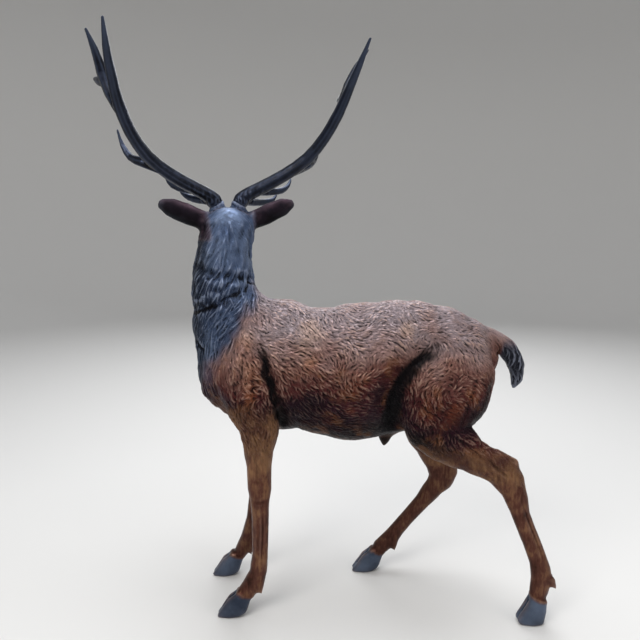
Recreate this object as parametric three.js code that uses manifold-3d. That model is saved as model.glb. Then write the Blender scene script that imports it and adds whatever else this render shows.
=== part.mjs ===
// A life-size bronze stag, standing with its head turned away over its right side. One hollow casting
// (body, head, ears, legs and tail) carries two separately cast antlers, one on each pedicle.
//
// Units are millimetres and +Z is up. The stag's chest points along -X, its left flank faces -Y and its
// hooves stand on z = 0. The exported group is shifted so that its origin is the middle of the bounding
// box's underside.
//
// The body is modelled like clay: limbs with elliptical sections are blended into one field, creases are
// carved out of it, the zero surface is meshed, and edges are collapsed to leave an economical solid.

import * as THREE from "three";
import { LoftGeometry } from "three/addons/geometries/LoftGeometry.js";
import { mergeVertices } from "three/addons/utils/BufferGeometryUtils.js";
import Module from "manifold-3d";

const wasm = await Module();
wasm.setup();

// ---------------------------------------------------------------- driving dimensions

const LEFT = -1;
const RIGHT = 1;
const SIDES = [LEFT, RIGHT];

const CELL = 9; // sampling step of the clay field
const BODY_TRIANGLES = 7500;
const HEAD_TURN = THREE.MathUtils.degToRad(18); // how far the gaze stays short of square to the body
const HEAD_AT = new THREE.Vector3(-349, 100, 1560); // between the two antler bases
const ANTLER_GAP = 0.3; // between an antler's foot and its pedicle
const RACK_HEIGHT = 550; // of the antlers above their bases
const RACK_LEAN = 14; // how far the antler tips lean towards the stag's right

// ---------------------------------------------------------------- frames

const v3 = (x, y, z) => new THREE.Vector3(x, y, z);
const AXIS_X = v3(1, 0, 0);
const AXIS_Y = v3(0, 1, 0);
const AXIS_Z = v3(0, 0, 1);

const HEAD_FORWARD = v3(-Math.sin(HEAD_TURN), Math.cos(HEAD_TURN), 0);
const HEAD_SIDE = v3(Math.cos(HEAD_TURN), Math.sin(HEAD_TURN), 0); // towards the stag's right ear

// A point of the head: outwards from its middle plane on one side, forwards along the gaze, and up.
function headPoint(side, out, forward, up) {
  const lean = RACK_LEAN * (Math.max(up, 0) / RACK_HEIGHT) ** 4;
  return HEAD_AT.clone()
    .addScaledVector(HEAD_SIDE, side * out + lean)
    .addScaledVector(HEAD_FORWARD, forward)
    .add(v3(0, 0, up));
}

// ---------------------------------------------------------------- clay: limbs and how they blend

const SPINE_STEPS = 5; // straight pieces between two stations

// A limb runs through stations [point, deep, wide]. Its section is an ellipse: wide is the half size along
// the given side axis, deep is the half size square to that axis and to the spine.
function limb(stations, { side = AXIS_Y, blend = 20, carve = false, cap = 0.9 } = {}) {
  const curve = new THREE.CatmullRomCurve3(stations.map((s) => s[0]), false, "centripetal");
  const last = stations.length - 1;
  const count = last * SPINE_STEPS;
  const nodes = [];
  for (let i = 0; i <= count; i++) {
    const t = i / count;
    const k = Math.min(Math.floor(t * last), last - 1);
    const mix = smooth(t * last - k);
    nodes.push({
      at: curve.getPoint(t),
      deep: THREE.MathUtils.lerp(stations[k][1], stations[k + 1][1], mix),
      wide: THREE.MathUtils.lerp(stations[k][2], stations[k + 1][2], mix),
    });
  }
  const box = new THREE.Box3();
  for (const n of nodes) {
    const r = Math.max(n.deep, n.wide);
    box.expandByPoint(n.at.clone().addScalar(r));
    box.expandByPoint(n.at.clone().addScalar(-r));
  }
  const bones = [];
  for (let i = 0; i < count; i++) {
    const along = nodes[i + 1].at.clone().sub(nodes[i].at);
    const length = along.length();
    along.divideScalar(length);
    const wideAxis = side.clone().addScaledVector(along, -side.dot(along)).normalize();
    const deepAxis = along.clone().cross(wideAxis);
    bones.push({ a: nodes[i], b: nodes[i + 1], along, length, wideAxis, deepAxis });
  }
  return { bones, box, blend, carve, cap };
}

const smooth = (t) => t * t * (3 - 2 * t);

// About the distance from a point to the limb's surface, below zero inside.
function limbDistance(shape, x, y, z) {
  const { min, max } = shape.box;
  const ox = Math.max(min.x - x, 0, x - max.x);
  const oy = Math.max(min.y - y, 0, y - max.y);
  const oz = Math.max(min.z - z, 0, z - max.z);
  const outside = Math.hypot(ox, oy, oz);
  if (outside > 2 * shape.blend + CELL) return outside;
  let best = Infinity;
  for (const { a, b, along, length, wideAxis, deepAxis } of shape.bones) {
    const px = x - a.at.x;
    const py = y - a.at.y;
    const pz = z - a.at.z;
    const s = Math.min(Math.max(px * along.x + py * along.y + pz * along.z, 0), length);
    const t = s / length;
    const deep = a.deep + (b.deep - a.deep) * t;
    const wide = a.wide + (b.wide - a.wide) * t;
    const qx = px - along.x * s;
    const qy = py - along.y * s;
    const qz = pz - along.z * s;
    const u = (qx * deepAxis.x + qy * deepAxis.y + qz * deepAxis.z) / deep;
    const v = (qx * wideAxis.x + qy * wideAxis.y + qz * wideAxis.z) / wide;
    const w = (qx * along.x + qy * along.y + qz * along.z) / (Math.min(deep, wide) * shape.cap);
    const ratio = Math.hypot(u, v, w);
    const reach = Math.hypot(qx, qy, qz);
    best = Math.min(best, ratio > 1e-6 ? reach - reach / ratio : -Math.min(deep, wide));
  }
  return best;
}

// Polynomial smooth minimum: the two fields melt together over the blend width.
function melt(a, b, width) {
  const h = Math.max(width - Math.abs(a - b), 0) / width;
  return Math.min(a, b) - (h * h * width) / 4;
}

function clayDistance(shapes, x, y, z) {
  let field = 1e4;
  for (const shape of shapes) {
    const d = limbDistance(shape, x, y, z);
    field = shape.carve ? -melt(-field, d, shape.blend) : melt(field, d, shape.blend);
  }
  return field;
}

// ---------------------------------------------------------------- anatomy: trunk and neck

// Trunk sections from brisket to rump: x, top line, bottom line, half width.
const TRUNK = [
  [-362, 1128, 882, 98],
  [-316, 1180, 780, 142],
  [-240, 1191, 726, 166],
  [-150, 1199, 705, 178],
  [-60, 1173, 722, 188],
  [40, 1171, 684, 200],
  [120, 1182, 663, 206],
  [210, 1190, 685, 200],
  [300, 1200, 703, 182],
  [390, 1199, 742, 160],
  [470, 1179, 800, 142],
  [550, 1140, 856, 118],
  [608, 1102, 905, 80],
];

function trunk() {
  const stations = TRUNK.map(([x, top, bottom, wide]) => {
    return [v3(x, 0, (top + bottom) / 2), (top - bottom) / 2, wide];
  });
  return [limb(stations, { blend: 40, cap: 0.8 })];
}

// The trunk's half width at a place on the flank.
function flank(x, z) {
  const k = Math.max(1, TRUNK.findIndex((row) => row[0] > x));
  const [x0, top0, bottom0, wide0] = TRUNK[k - 1];
  const [x1, top1, bottom1, wide1] = TRUNK[k];
  const t = (x - x0) / (x1 - x0);
  const top = top0 + (top1 - top0) * t;
  const bottom = bottom0 + (bottom1 - bottom0) * t;
  const ratio = (2 * z - top - bottom) / (top - bottom);
  return (wide0 + (wide1 - wide0) * t) * Math.sqrt(Math.max(0.05, 1 - ratio * ratio));
}

// Neck sections from the chest to the poll: middle, then half depth and half width.
const NECK = [
  [v3(-287, 0, 994), 160, 134],
  [v3(-330, 0, 1120), 146, 126],
  [v3(-356, 8, 1220), 119, 118],
  [v3(-362, 26, 1313), 105, 116],
  [v3(-357, 44, 1387), 98, 114],
  [v3(-349, 62, 1450), 92, 105],
  [v3(-346, 76, 1490), 71, 84],
];

function neck() {
  return [limb(NECK, { blend: 46, cap: 0.6 })];
}

// The middle of the neck at a height, with its half depth and half width there.
function neckSection(z) {
  const k = THREE.MathUtils.clamp(NECK.findIndex((row) => row[0].z > z), 1, NECK.length - 1);
  const [p0, deep0, wide0] = NECK[k - 1];
  const [p1, deep1, wide1] = NECK[k];
  const t = THREE.MathUtils.clamp((z - p0.z) / (p1.z - p0.z), 0, 1);
  return {
    middle: p0.clone().lerp(p1, t),
    deep: THREE.MathUtils.lerp(deep0, deep1, t),
    wide: THREE.MathUtils.lerp(wide0, wide1, t),
  };
}

// A fold pressed into the neck through [degrees round from the nape, height, depth]. The left side is at
// -90.
function fold(places, radius) {
  const stations = places.map(([degrees, z, depth]) => {
    const { middle, deep, wide } = neckSection(z);
    const angle = THREE.MathUtils.degToRad(degrees);
    const out = radius - depth;
    const at = v3(middle.x + (deep + out) * Math.cos(angle), middle.y + (wide + out) * Math.sin(angle), z);
    return [at, radius, radius];
  });
  return limb(stations, { side: AXIS_Z, blend: 16, carve: true });
}

function folds() {
  return [
    fold([[-150, 1338, 1], [-115, 1318, 8], [-75, 1300, 10], [-35, 1290, 9], [-5, 1292, 1]], 17),
    fold([[-172, 1178, 3], [-135, 1192, 12], [-100, 1206, 8], [-60, 1240, 9], [-25, 1268, 3]], 20),
    fold([[20, 1275, 2], [60, 1262, 9], [110, 1250, 10], [150, 1240, 2]], 18),
    fold([[60, 1338, 2], [100, 1322, 9], [140, 1306, 2]], 16),
  ];
}

// A crease pressed into both flanks through [x, z, depth].
function crease(places, radius, blend) {
  return SIDES.map((side) =>
    limb(
      places.map(([x, z, depth]) => [v3(x, side * (flank(x, z) + radius - depth), z), radius, radius]),
      { blend, carve: true },
    ),
  );
}

const BEHIND_SHOULDER = [
  [-214, 1068, 0],
  [-190, 975, 12],
  [-164, 880, 16],
  [-142, 800, 18],
  [-136, 760, 12],
];
const BEFORE_THIGH = [
  [268, 760, 14],
  [262, 860, 26],
  [284, 940, 24],
  [336, 1004, 16],
  [404, 1044, 6],
];

function creases() {
  return [...crease(BEHIND_SHOULDER, 24, 22), ...crease(BEFORE_THIGH, 58, 50)];
}

function tail() {
  return [
    limb(
      [
        [v3(604, 0, 1081), 28, 32],
        [v3(661, 0, 1059), 26, 28],
        [v3(708, 0, 1018), 34, 29],
        [v3(741, 0, 962), 31, 28],
        [v3(751, 0, 908), 22, 22],
        [v3(740, 0, 866), 7, 8],
      ],
      { blend: 9 },
    ),
  ];
}

// The gap between the root of the tail and the rump: x, z, radius and half width.
const TAIL_NOTCH = [661, 1007, 9, 60];

function tailNotch() {
  const [x, z, radius, reach] = TAIL_NOTCH;
  const ends = SIDES.map((side) => [v3(x, side * reach, z), radius, radius]);
  return [limb(ends, { side: AXIS_Z, blend: 6, carve: true })];
}

function sheath() {
  return [
    limb(
      [
        [v3(262, 0, 710), 46, 34],
        [v3(254, 0, 672), 26, 20],
        [v3(247, 0, 630), 7, 7],
      ],
      { blend: 26 },
    ),
  ];
}

// ---------------------------------------------------------------- anatomy: legs

// A leg's table rows are x, distance from the middle plane, z, half depth and half width, from the trunk
// down.
function leg(rows, side) {
  return limb(
    rows.map(([x, out, z, deep, wide]) => [v3(x, side * out, z), deep, wide]),
    { blend: 30 },
  );
}

const SHOULDER = [
  [-248, 88, 1050, 80, 48],
  [-268, 112, 945, 108, 68],
  [-250, 126, 845, 94, 64],
  [-222, 131, 750, 72, 52],
];

const FORE_LEFT = [
  [-227, 131, 665, 54, 42],
  [-225, 132, 590, 46, 37],
  [-225, 133, 522, 45, 36],
  [-225, 134, 452, 35, 30],
  [-224, 135, 385, 32, 25],
  [-227, 136, 265, 30, 25],
  [-235, 137, 182, 33, 29],
  [-251, 138, 138, 37, 30],
  [-280, 139, 100, 34, 27],
];

const FORE_RIGHT = [
  [-234, 131, 660, 54, 42],
  [-245, 133, 570, 45, 37],
  [-251, 135, 505, 44, 36],
  [-259, 137, 430, 33, 30],
  [-266, 138, 360, 30, 25],
  [-281, 139, 260, 28, 25],
  [-296, 140, 190, 32, 29],
  [-311, 140, 146, 33, 30],
  [-336, 140, 102, 28, 27],
];

const HAUNCH = [
  [505, 90, 1048, 96, 48],
  [492, 112, 960, 146, 72],
  [470, 124, 875, 146, 76],
  [436, 132, 800, 115, 68],
];

const HIND_LEFT = [
  [446, 139, 732, 100, 56],
  [507, 148, 683, 82, 46],
  [560, 154, 648, 63, 40],
  [632, 160, 610, 54, 35],
  [687, 164, 566, 57, 34],
  [719, 167, 500, 43, 30],
  [743, 170, 425, 34, 26],
  [779, 175, 337, 33, 25],
  [810, 180, 260, 34, 26],
  [826, 183, 196, 38, 30],
  [820, 185, 124, 36, 28],
];

const HIND_RIGHT = [
  [424, 139, 725, 104, 56],
  [428, 144, 640, 78, 46],
  [462, 150, 560, 60, 40],
  [500, 156, 482, 55, 35],
  [510, 160, 430, 55, 34],
  [474, 163, 376, 42, 30],
  [427, 166, 312, 33, 26],
  [369, 168, 240, 30, 25],
  [327, 170, 184, 31, 26],
  [297, 171, 144, 35, 28],
  [256, 171, 104, 33, 27],
];

// A hoof is two toes side by side, cut flat by the ground. Its rows run from the coronet to the tip: along
// from the coronet, height, half depth.
const LOW_HOOF = [
  [0, 82, 33],
  [-26, 44, 45],
  [-56, 16, 37],
  [-90, 0, 18],
];
const STEEP_HOOF = [
  [0, 96, 35],
  [-10, 54, 44],
  [-22, 18, 51],
  [-37, -6, 49],
];
const TOE_WIDTHS = [18, 21, 20, 14];
const TOE_APART = 13;
const HOOVES = [
  [-292, -140, LOW_HOOF],
  [-354, 140, LOW_HOOF],
  [817, -187, STEEP_HOOF],
  [240, 171, LOW_HOOF],
];

function hoof([x, y, rows]) {
  return [-1, 1].map((half) =>
    limb(
      rows.map(([along, z, deep], k) => [v3(x + along, y + half * TOE_APART, z), deep, TOE_WIDTHS[k]]),
      { blend: 10 },
    ),
  );
}

// Two dewclaws hang behind the fetlock: y, root [x, z], tip [x, z].
const DEWCLAWS = [
  [-137, [-236, 128], [-220, 90]],
  [140, [-296, 133], [-289, 90]],
  [-184, [860, 182], [884, 134]],
  [171, [316, 134], [318, 94]],
];
const DEWCLAW_APART = 15;
const DEWCLAW_ROOT = [15, 12];
const DEWCLAW_TIP = [5, 5];

function dewclaws([y, root, tip]) {
  return [-1, 1].map((half) =>
    limb(
      [
        [v3(root[0], y + half * DEWCLAW_APART, root[1]), ...DEWCLAW_ROOT],
        [v3(tip[0], y + half * DEWCLAW_APART, tip[1]), ...DEWCLAW_TIP],
      ],
      { blend: 12 },
    ),
  );
}

// The point of each hock runs down from a back corner, and each stifle bulges in front of the thigh.
const HOCK_POINTS = [
  [[640, -160, 652, 24, 20], [706, -163, 622, 20, 17]],
  [[540, 156, 510, 24, 20], [554, 159, 452, 20, 17]],
];
const STIFLES = [
  [[366, -136, 806, 48, 52], [364, -140, 734, 44, 44]],
  [[362, 136, 796, 48, 52], [378, 140, 706, 44, 44]],
];

function lump(rows, blend) {
  return limb(rows.map(([x, y, z, deep, wide]) => [v3(x, y, z), deep, wide]), { blend });
}

function legs() {
  return [
    leg([...SHOULDER, ...FORE_LEFT], LEFT),
    leg([...SHOULDER, ...FORE_RIGHT], RIGHT),
    leg([...HAUNCH, ...HIND_LEFT], LEFT),
    leg([...HAUNCH, ...HIND_RIGHT], RIGHT),
    ...HOOVES.flatMap(hoof),
    ...DEWCLAWS.flatMap(dewclaws),
    ...HOCK_POINTS.map((rows) => lump(rows, 24)),
    ...STIFLES.map((rows) => lump(rows, 40)),
  ];
}

// ---------------------------------------------------------------- anatomy: head

function headLimb(side, rows, options) {
  return limb(
    rows.map(([out, forward, up, deep, wide]) => [headPoint(side, out, forward, up), deep, wide]),
    { side: HEAD_SIDE, blend: 20, ...options },
  );
}

// Rows of the skull and the jaw: out, forward, up, half depth, half width.
const SKULL = [
  [0, -46, -100, 56, 62],
  [0, 20, -98, 66, 72],
  [0, 90, -110, 68, 71],
  [0, 160, -136, 58, 56],
  [0, 230, -164, 47, 44],
  [0, 300, -191, 40, 39],
  [0, 340, -206, 37, 38],
];
const JAW = [
  [0, 20, -154, 42, 52],
  [0, 110, -192, 36, 37],
  [0, 210, -220, 24, 27],
  [0, 322, -245, 17, 24],
];
const CHEEK = [
  [54, 36, -136, 42, 24],
  [46, 112, -168, 30, 18],
];
const BROW_RIDGE = [
  [46, 56, -52, 16, 20],
  [66, 108, -74, 14, 15],
];
const EYE_SOCKET = [
  [82, 92, -98, 19, 13],
  [76, 128, -112, 17, 12],
];
const EYE = [
  [64, 104, -101, 21, 21],
  [63, 110, -104, 21, 21],
];
const NOSTRIL = [
  [30, 362, -196, 10, 9],
  [38, 344, -190, 6, 6],
];
const PEDICLE = [
  [38, 0, -66, 34, 32],
  [44, -1, 8, 28, 28],
];

function skull() {
  return [headLimb(RIGHT, SKULL, { blend: 50, cap: 0.75 }), headLimb(RIGHT, JAW, { blend: 30 })];
}

function face(side) {
  return [
    headLimb(side, CHEEK, { blend: 30 }),
    headLimb(side, BROW_RIDGE, { blend: 20 }),
    headLimb(side, EYE_SOCKET, { blend: 14, carve: true }),
    headLimb(side, EYE, { blend: 5 }),
    headLimb(side, NOSTRIL, { blend: 10, carve: true }),
    headLimb(side, PEDICLE, { blend: 16 }),
  ];
}

// An ear is a leaf with a hollow pressed into the side that faces forward.
const EAR_ROOT = [62, -26, -78];
const EAR_TIP = [255, -42, 3];
const EAR_LEAF = [
  [0, 27, 26],
  [0.25, 34, 24],
  [0.5, 38, 22],
  [0.75, 35, 17],
  [0.95, 20, 10],
];

const EAR_SWING = 7; // how far both ear tips stand towards the stag's left
const HOLLOW_OFFSET = 0.75; // of the ear's half thickness, from its middle to the middle of the hollow
const HOLLOW_SHARE = 0.76; // of the ear's section

function ear(side) {
  const tip = [EAR_TIP[0] - side * EAR_SWING, EAR_TIP[1], EAR_TIP[2]];
  const at = (t, forward) => {
    const [out, ahead, up] = EAR_ROOT.map((root, axis) => root + (tip[axis] - root) * t);
    return headPoint(side, out, ahead + forward, up);
  };
  const leaf = EAR_LEAF.map(([t, deep, wide]) => [at(t, 0), deep, wide]);
  const hollow = EAR_LEAF.slice(1, -1).map(([t, deep, wide]) => [
    at(t, wide * HOLLOW_OFFSET),
    deep * HOLLOW_SHARE,
    wide * HOLLOW_SHARE,
  ]);
  return [
    limb(leaf, { side: HEAD_FORWARD, blend: 22 }),
    limb(hollow, { side: HEAD_FORWARD, blend: 8, carve: true, cap: 1.2 }),
  ];
}

// ---------------------------------------------------------------- the coat

// Locks overlap like shingles: each starts thin under the row above, thickens towards its point and ends in
// a step.
const MANE = { pitch: 64, width: 46, length: 1.75, height: 11 };
const FUR = { pitch: 78, width: 52, length: 1.6, height: 5 };
const COAT_SETTLE = 0.45; // of a lock's height, taken off first so that the coat keeps the body's girth
const NECK_RADIUS = 110;
const MANE_SWEEP = 30; // how much higher the rows of the mane sit at the nape than round the sides
const COAT_DEPTH = 40; // the coat is worked out only this near to the surface

const SCATTER = [127.1, 311.7, 74.7, 43758.5453]; // large unrelated numbers

// A repeatable number from 0 to 1 for a lock in a row.
function chance(row, column, seed) {
  const wave = Math.sin(row * SCATTER[0] + column * SCATTER[1] + seed * SCATTER[2]) * SCATTER[3];
  return wave - Math.floor(wave);
}

const LOCK_STAGGER = 0.3; // most that a lock starts late, in rows
const LOCK_CURL = 0.55; // how far locks bend aside, in widths
const LOCK_HALF = 0.68; // half width at the widest place, in widths
const LOCK_ROOT = 0.55; // of that half width, at the root
const LOCK_SHOULDER = 2.4; // the widest place comes after one part in this many of the length
const LOCK_START = 0.25; // of the lock's height, at the root
const LOCK_SIZES = [0.75, 1.25]; // shares of the height, from the smallest lock to the largest

// How far locks stand out at a place that lies along the coat's flow, and across it, both in mm. The coat
// closes on itself across every turn mm.
function locks({ pitch, width, length, height }, along, across, turn, seed) {
  const columns = Math.max(1, Math.round(turn / width));
  const step = turn / columns;
  const first = Math.floor(along / pitch);
  let best = 0;
  for (let row = first - 2; row <= first; row++) {
    const shift = (row % 2) * 0.5;
    const nearest = Math.round(across / step - shift);
    for (let k = -1; k <= 1; k++) {
      const column = (((nearest + k) % columns) + columns) % columns;
      const luck = chance(row, column, seed);
      const run = (along / pitch - row - LOCK_STAGGER * luck) / length;
      if (run < 0 || run > 1) continue;
      const curl = LOCK_CURL * (luck - 0.5) * Math.sin(run * Math.PI);
      const off = across / step - shift - nearest - k - curl;
      const open = Math.sin((Math.min(1, run * LOCK_SHOULDER) * Math.PI) / 2);
      const half = LOCK_HALF * Math.sqrt(1 - run) * THREE.MathUtils.lerp(LOCK_ROOT, 1, open);
      const bulge = 1 - (off / half) ** 2;
      if (bulge <= 0) continue;
      const size = THREE.MathUtils.lerp(...LOCK_SIZES, chance(column, row, seed));
      const thick = THREE.MathUtils.lerp(LOCK_START, 1, run);
      best = Math.max(best, height * size * thick * Math.sqrt(bulge));
    }
  }
  return best;
}

// 0 before a span [from, to], 1 after it, and a smooth slope between.
const after = (value, [from, to]) => THREE.MathUtils.smoothstep(value, from, to);
const before = (value, span) => 1 - after(value, span);

// The mane hangs from the poll over the neck and the front of the chest.
const MANE_TOP = 1560; // where its rows are counted from
const MANE_ABOVE = [780, 860];
const MANE_BELOW = [1490, 1540];
const THROAT = [1090, 1230]; // above this the mane goes all round the neck
const CHEST = [640, 800]; // below the throat it keeps to the front, by z + CHEST_SLANT x
const CHEST_SLANT = 0.9;

function maneRelief(x, y, z) {
  const { middle } = neckSection(z);
  const angle = Math.atan2(y - middle.y, x - middle.x);
  const chest = before(z + CHEST_SLANT * x, CHEST);
  const strength = after(z, MANE_ABOVE) * Math.max(chest, after(z, THROAT)) * before(z, MANE_BELOW);
  if (strength <= 0) return 0;
  const drop = MANE_TOP - z + MANE_SWEEP * Math.cos(angle);
  const relief = locks(MANE, drop, angle * NECK_RADIUS, 2 * Math.PI * NECK_RADIUS, 1);
  return strength * (relief - COAT_SETTLE * MANE.height);
}

// Shorter fur runs back along the trunk, rising and falling in waves.
const FUR_MIDDLE = 930; // height of the trunk's middle
const FUR_RADIUS = 200;
const FUR_BEHIND = [-330, -180];
const FUR_AHEAD_OF = [560, 640];
const FUR_ABOVE = [700, 790];
const FUR_SLANT = 0.25; // the rows sweep back towards the belly
const FUR_WAVE = 24;
const FUR_WAVE_LENGTH = [90, 70]; // along and round the trunk, in mm per radian

function furRelief(x, y, z) {
  const around = Math.atan2(y, z - FUR_MIDDLE) * FUR_RADIUS;
  const strength = after(x, FUR_BEHIND) * before(x, FUR_AHEAD_OF) * after(z, FUR_ABOVE);
  if (strength <= 0) return 0;
  const wave = FUR_WAVE * Math.sin(x / FUR_WAVE_LENGTH[0] + around / FUR_WAVE_LENGTH[1]);
  const relief = locks(FUR, x + FUR_SLANT * Math.abs(around) + wave, around, 2 * Math.PI * FUR_RADIUS, 2);
  return strength * (relief - COAT_SETTLE * FUR.height);
}

function coatedDistance(shapes, x, y, z) {
  const field = clayDistance(shapes, x, y, z);
  if (Math.abs(field) > COAT_DEPTH) return field;
  return field - maneRelief(x, y, z) - furRelief(x, y, z);
}

// ---------------------------------------------------------------- meshing the field

// Marching tetrahedra over every cell that the surface can cross. The six tetrahedra of a cell share its
// long diagonal, so neighbouring cells match and the surface is always closed.
const BLOCK = 8; // cells a side in a block that is skipped at once when the surface is far away
const BLOCK_REACH = 1.8; // how far from a block's middle the surface can still cross it, in block sides
const NEAR_ZERO = 1e-4; // stands for a field of exactly 0
const TETRAHEDRA = [[0, 1, 3, 7], [0, 5, 1, 7], [0, 3, 2, 7], [0, 2, 6, 7], [0, 4, 5, 7], [0, 6, 4, 7]];

function meshField(field, box) {
  const size = box.getSize(v3(0, 0, 0));
  const cells = [size.x, size.y, size.z].map((s) => Math.ceil(s / CELL / BLOCK) * BLOCK);
  const [nx, ny, nz] = cells.map((c) => c + 1);
  const values = new Float32Array(nx * ny * nz).fill(NaN);
  const place = (i) => [i % nx, Math.floor(i / nx) % ny, Math.floor(i / nx / ny)];
  const world = (i) => place(i).map((n, axis) => box.min.getComponent(axis) + n * CELL);
  const sample = (i) => {
    if (Number.isNaN(values[i])) values[i] = field(...world(i)) || NEAR_ZERO;
    return values[i];
  };
  const points = [];
  const triangles = [];
  const made = new Map();
  const crossing = (i, j) => {
    const [a, b] = i < j ? [i, j] : [j, i];
    const key = a * nx * ny * 2 + (b - a);
    if (!made.has(key)) {
      const t = values[a] / (values[a] - values[b]);
      const pa = world(a);
      const pb = world(b);
      made.set(key, points.length / 3);
      points.push(...pa.map((p, axis) => p + (pb[axis] - p) * t));
    }
    return made.get(key);
  };
  const corner = (n) => (n & 1) + (n & 2 ? nx : 0) + (n & 4 ? nx * ny : 0);
  const marchCell = (origin) => {
    const ids = Array.from({ length: 8 }, (_, n) => origin + corner(n));
    const signs = ids.map((i) => sample(i) < 0);
    if (signs.every((s) => s === signs[0])) return;
    for (const tet of TETRAHEDRA) {
      const inside = tet.filter((n) => signs[n]);
      const outside = tet.filter((n) => !signs[n]);
      if (!inside.length || !outside.length) continue;
      const ring =
        inside.length === 2
          ? [[0, 0], [0, 1], [1, 1], [1, 0]].map(([a, b]) => crossing(ids[inside[a]], ids[outside[b]]))
          : inside.flatMap((a) => outside.map((b) => crossing(ids[a], ids[b])));
      const flip = facesInward(ring.map((r) => points.slice(3 * r, 3 * r + 3)), world(ids[inside[0]]));
      if (flip) ring.reverse();
      for (let k = 2; k < ring.length; k++) triangles.push(ring[0], ring[k - 1], ring[k]);
    }
  };
  const reach = CELL * BLOCK * BLOCK_REACH;
  for (let bz = 0; bz < cells[2]; bz += BLOCK)
    for (let by = 0; by < cells[1]; by += BLOCK)
      for (let bx = 0; bx < cells[0]; bx += BLOCK) {
        const middle = [bx, by, bz].map((n, axis) => box.min.getComponent(axis) + (n + BLOCK / 2) * CELL);
        if (Math.abs(field(...middle)) > reach) continue;
        for (let z = bz; z < bz + BLOCK; z++)
          for (let y = by; y < by + BLOCK; y++)
            for (let x = bx; x < bx + BLOCK; x++) marchCell(x + nx * (y + ny * z));
      }
  return { points: Float64Array.from(points), triangles: Int32Array.from(triangles) };
}

// Whether a ring of points winds so that its normal points towards a point on the inner side.
function facesInward(ring, inner) {
  const [a, b, c] = ring.slice(0, 3).map((p) => v3(...p));
  const normal = b.clone().sub(a).cross(c.clone().sub(a));
  const middle = a.add(b).add(c).divideScalar(3);
  return normal.dot(middle.sub(v3(...inner))) < 0;
}

// ---------------------------------------------------------------- collapsing edges (quadric error)

// A smallest-first heap of [cost, ...] entries.
class Heap {
  constructor() {
    this.items = [];
  }
  push(item) {
    const { items } = this;
    let i = items.push(item) - 1;
    while (i > 0) {
      const parent = (i - 1) >> 1;
      if (items[parent][0] <= item[0]) break;
      items[i] = items[parent];
      i = parent;
    }
    items[i] = item;
  }
  pop() {
    const { items } = this;
    const top = items[0];
    const item = items.pop();
    const n = items.length;
    if (!n) return top;
    let i = 0;
    for (;;) {
      let child = 2 * i + 1;
      if (child >= n) break;
      if (child + 1 < n && items[child + 1][0] < items[child][0]) child++;
      if (items[child][0] >= item[0]) break;
      items[i] = items[child];
      i = child;
    }
    items[i] = item;
    return top;
  }
}

const QUADRIC = 10; // numbers in a symmetric 4 x 4 matrix
const ROUNDNESS = 1e-3; // small pull towards an edge's middle, which keeps flat areas evenly meshed
const LEAST_AGREEMENT = 0.25; // cosine of the most that a triangle may turn when an edge collapses
const LEAST_AREA = 1e-3; // mm2, twice over

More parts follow.
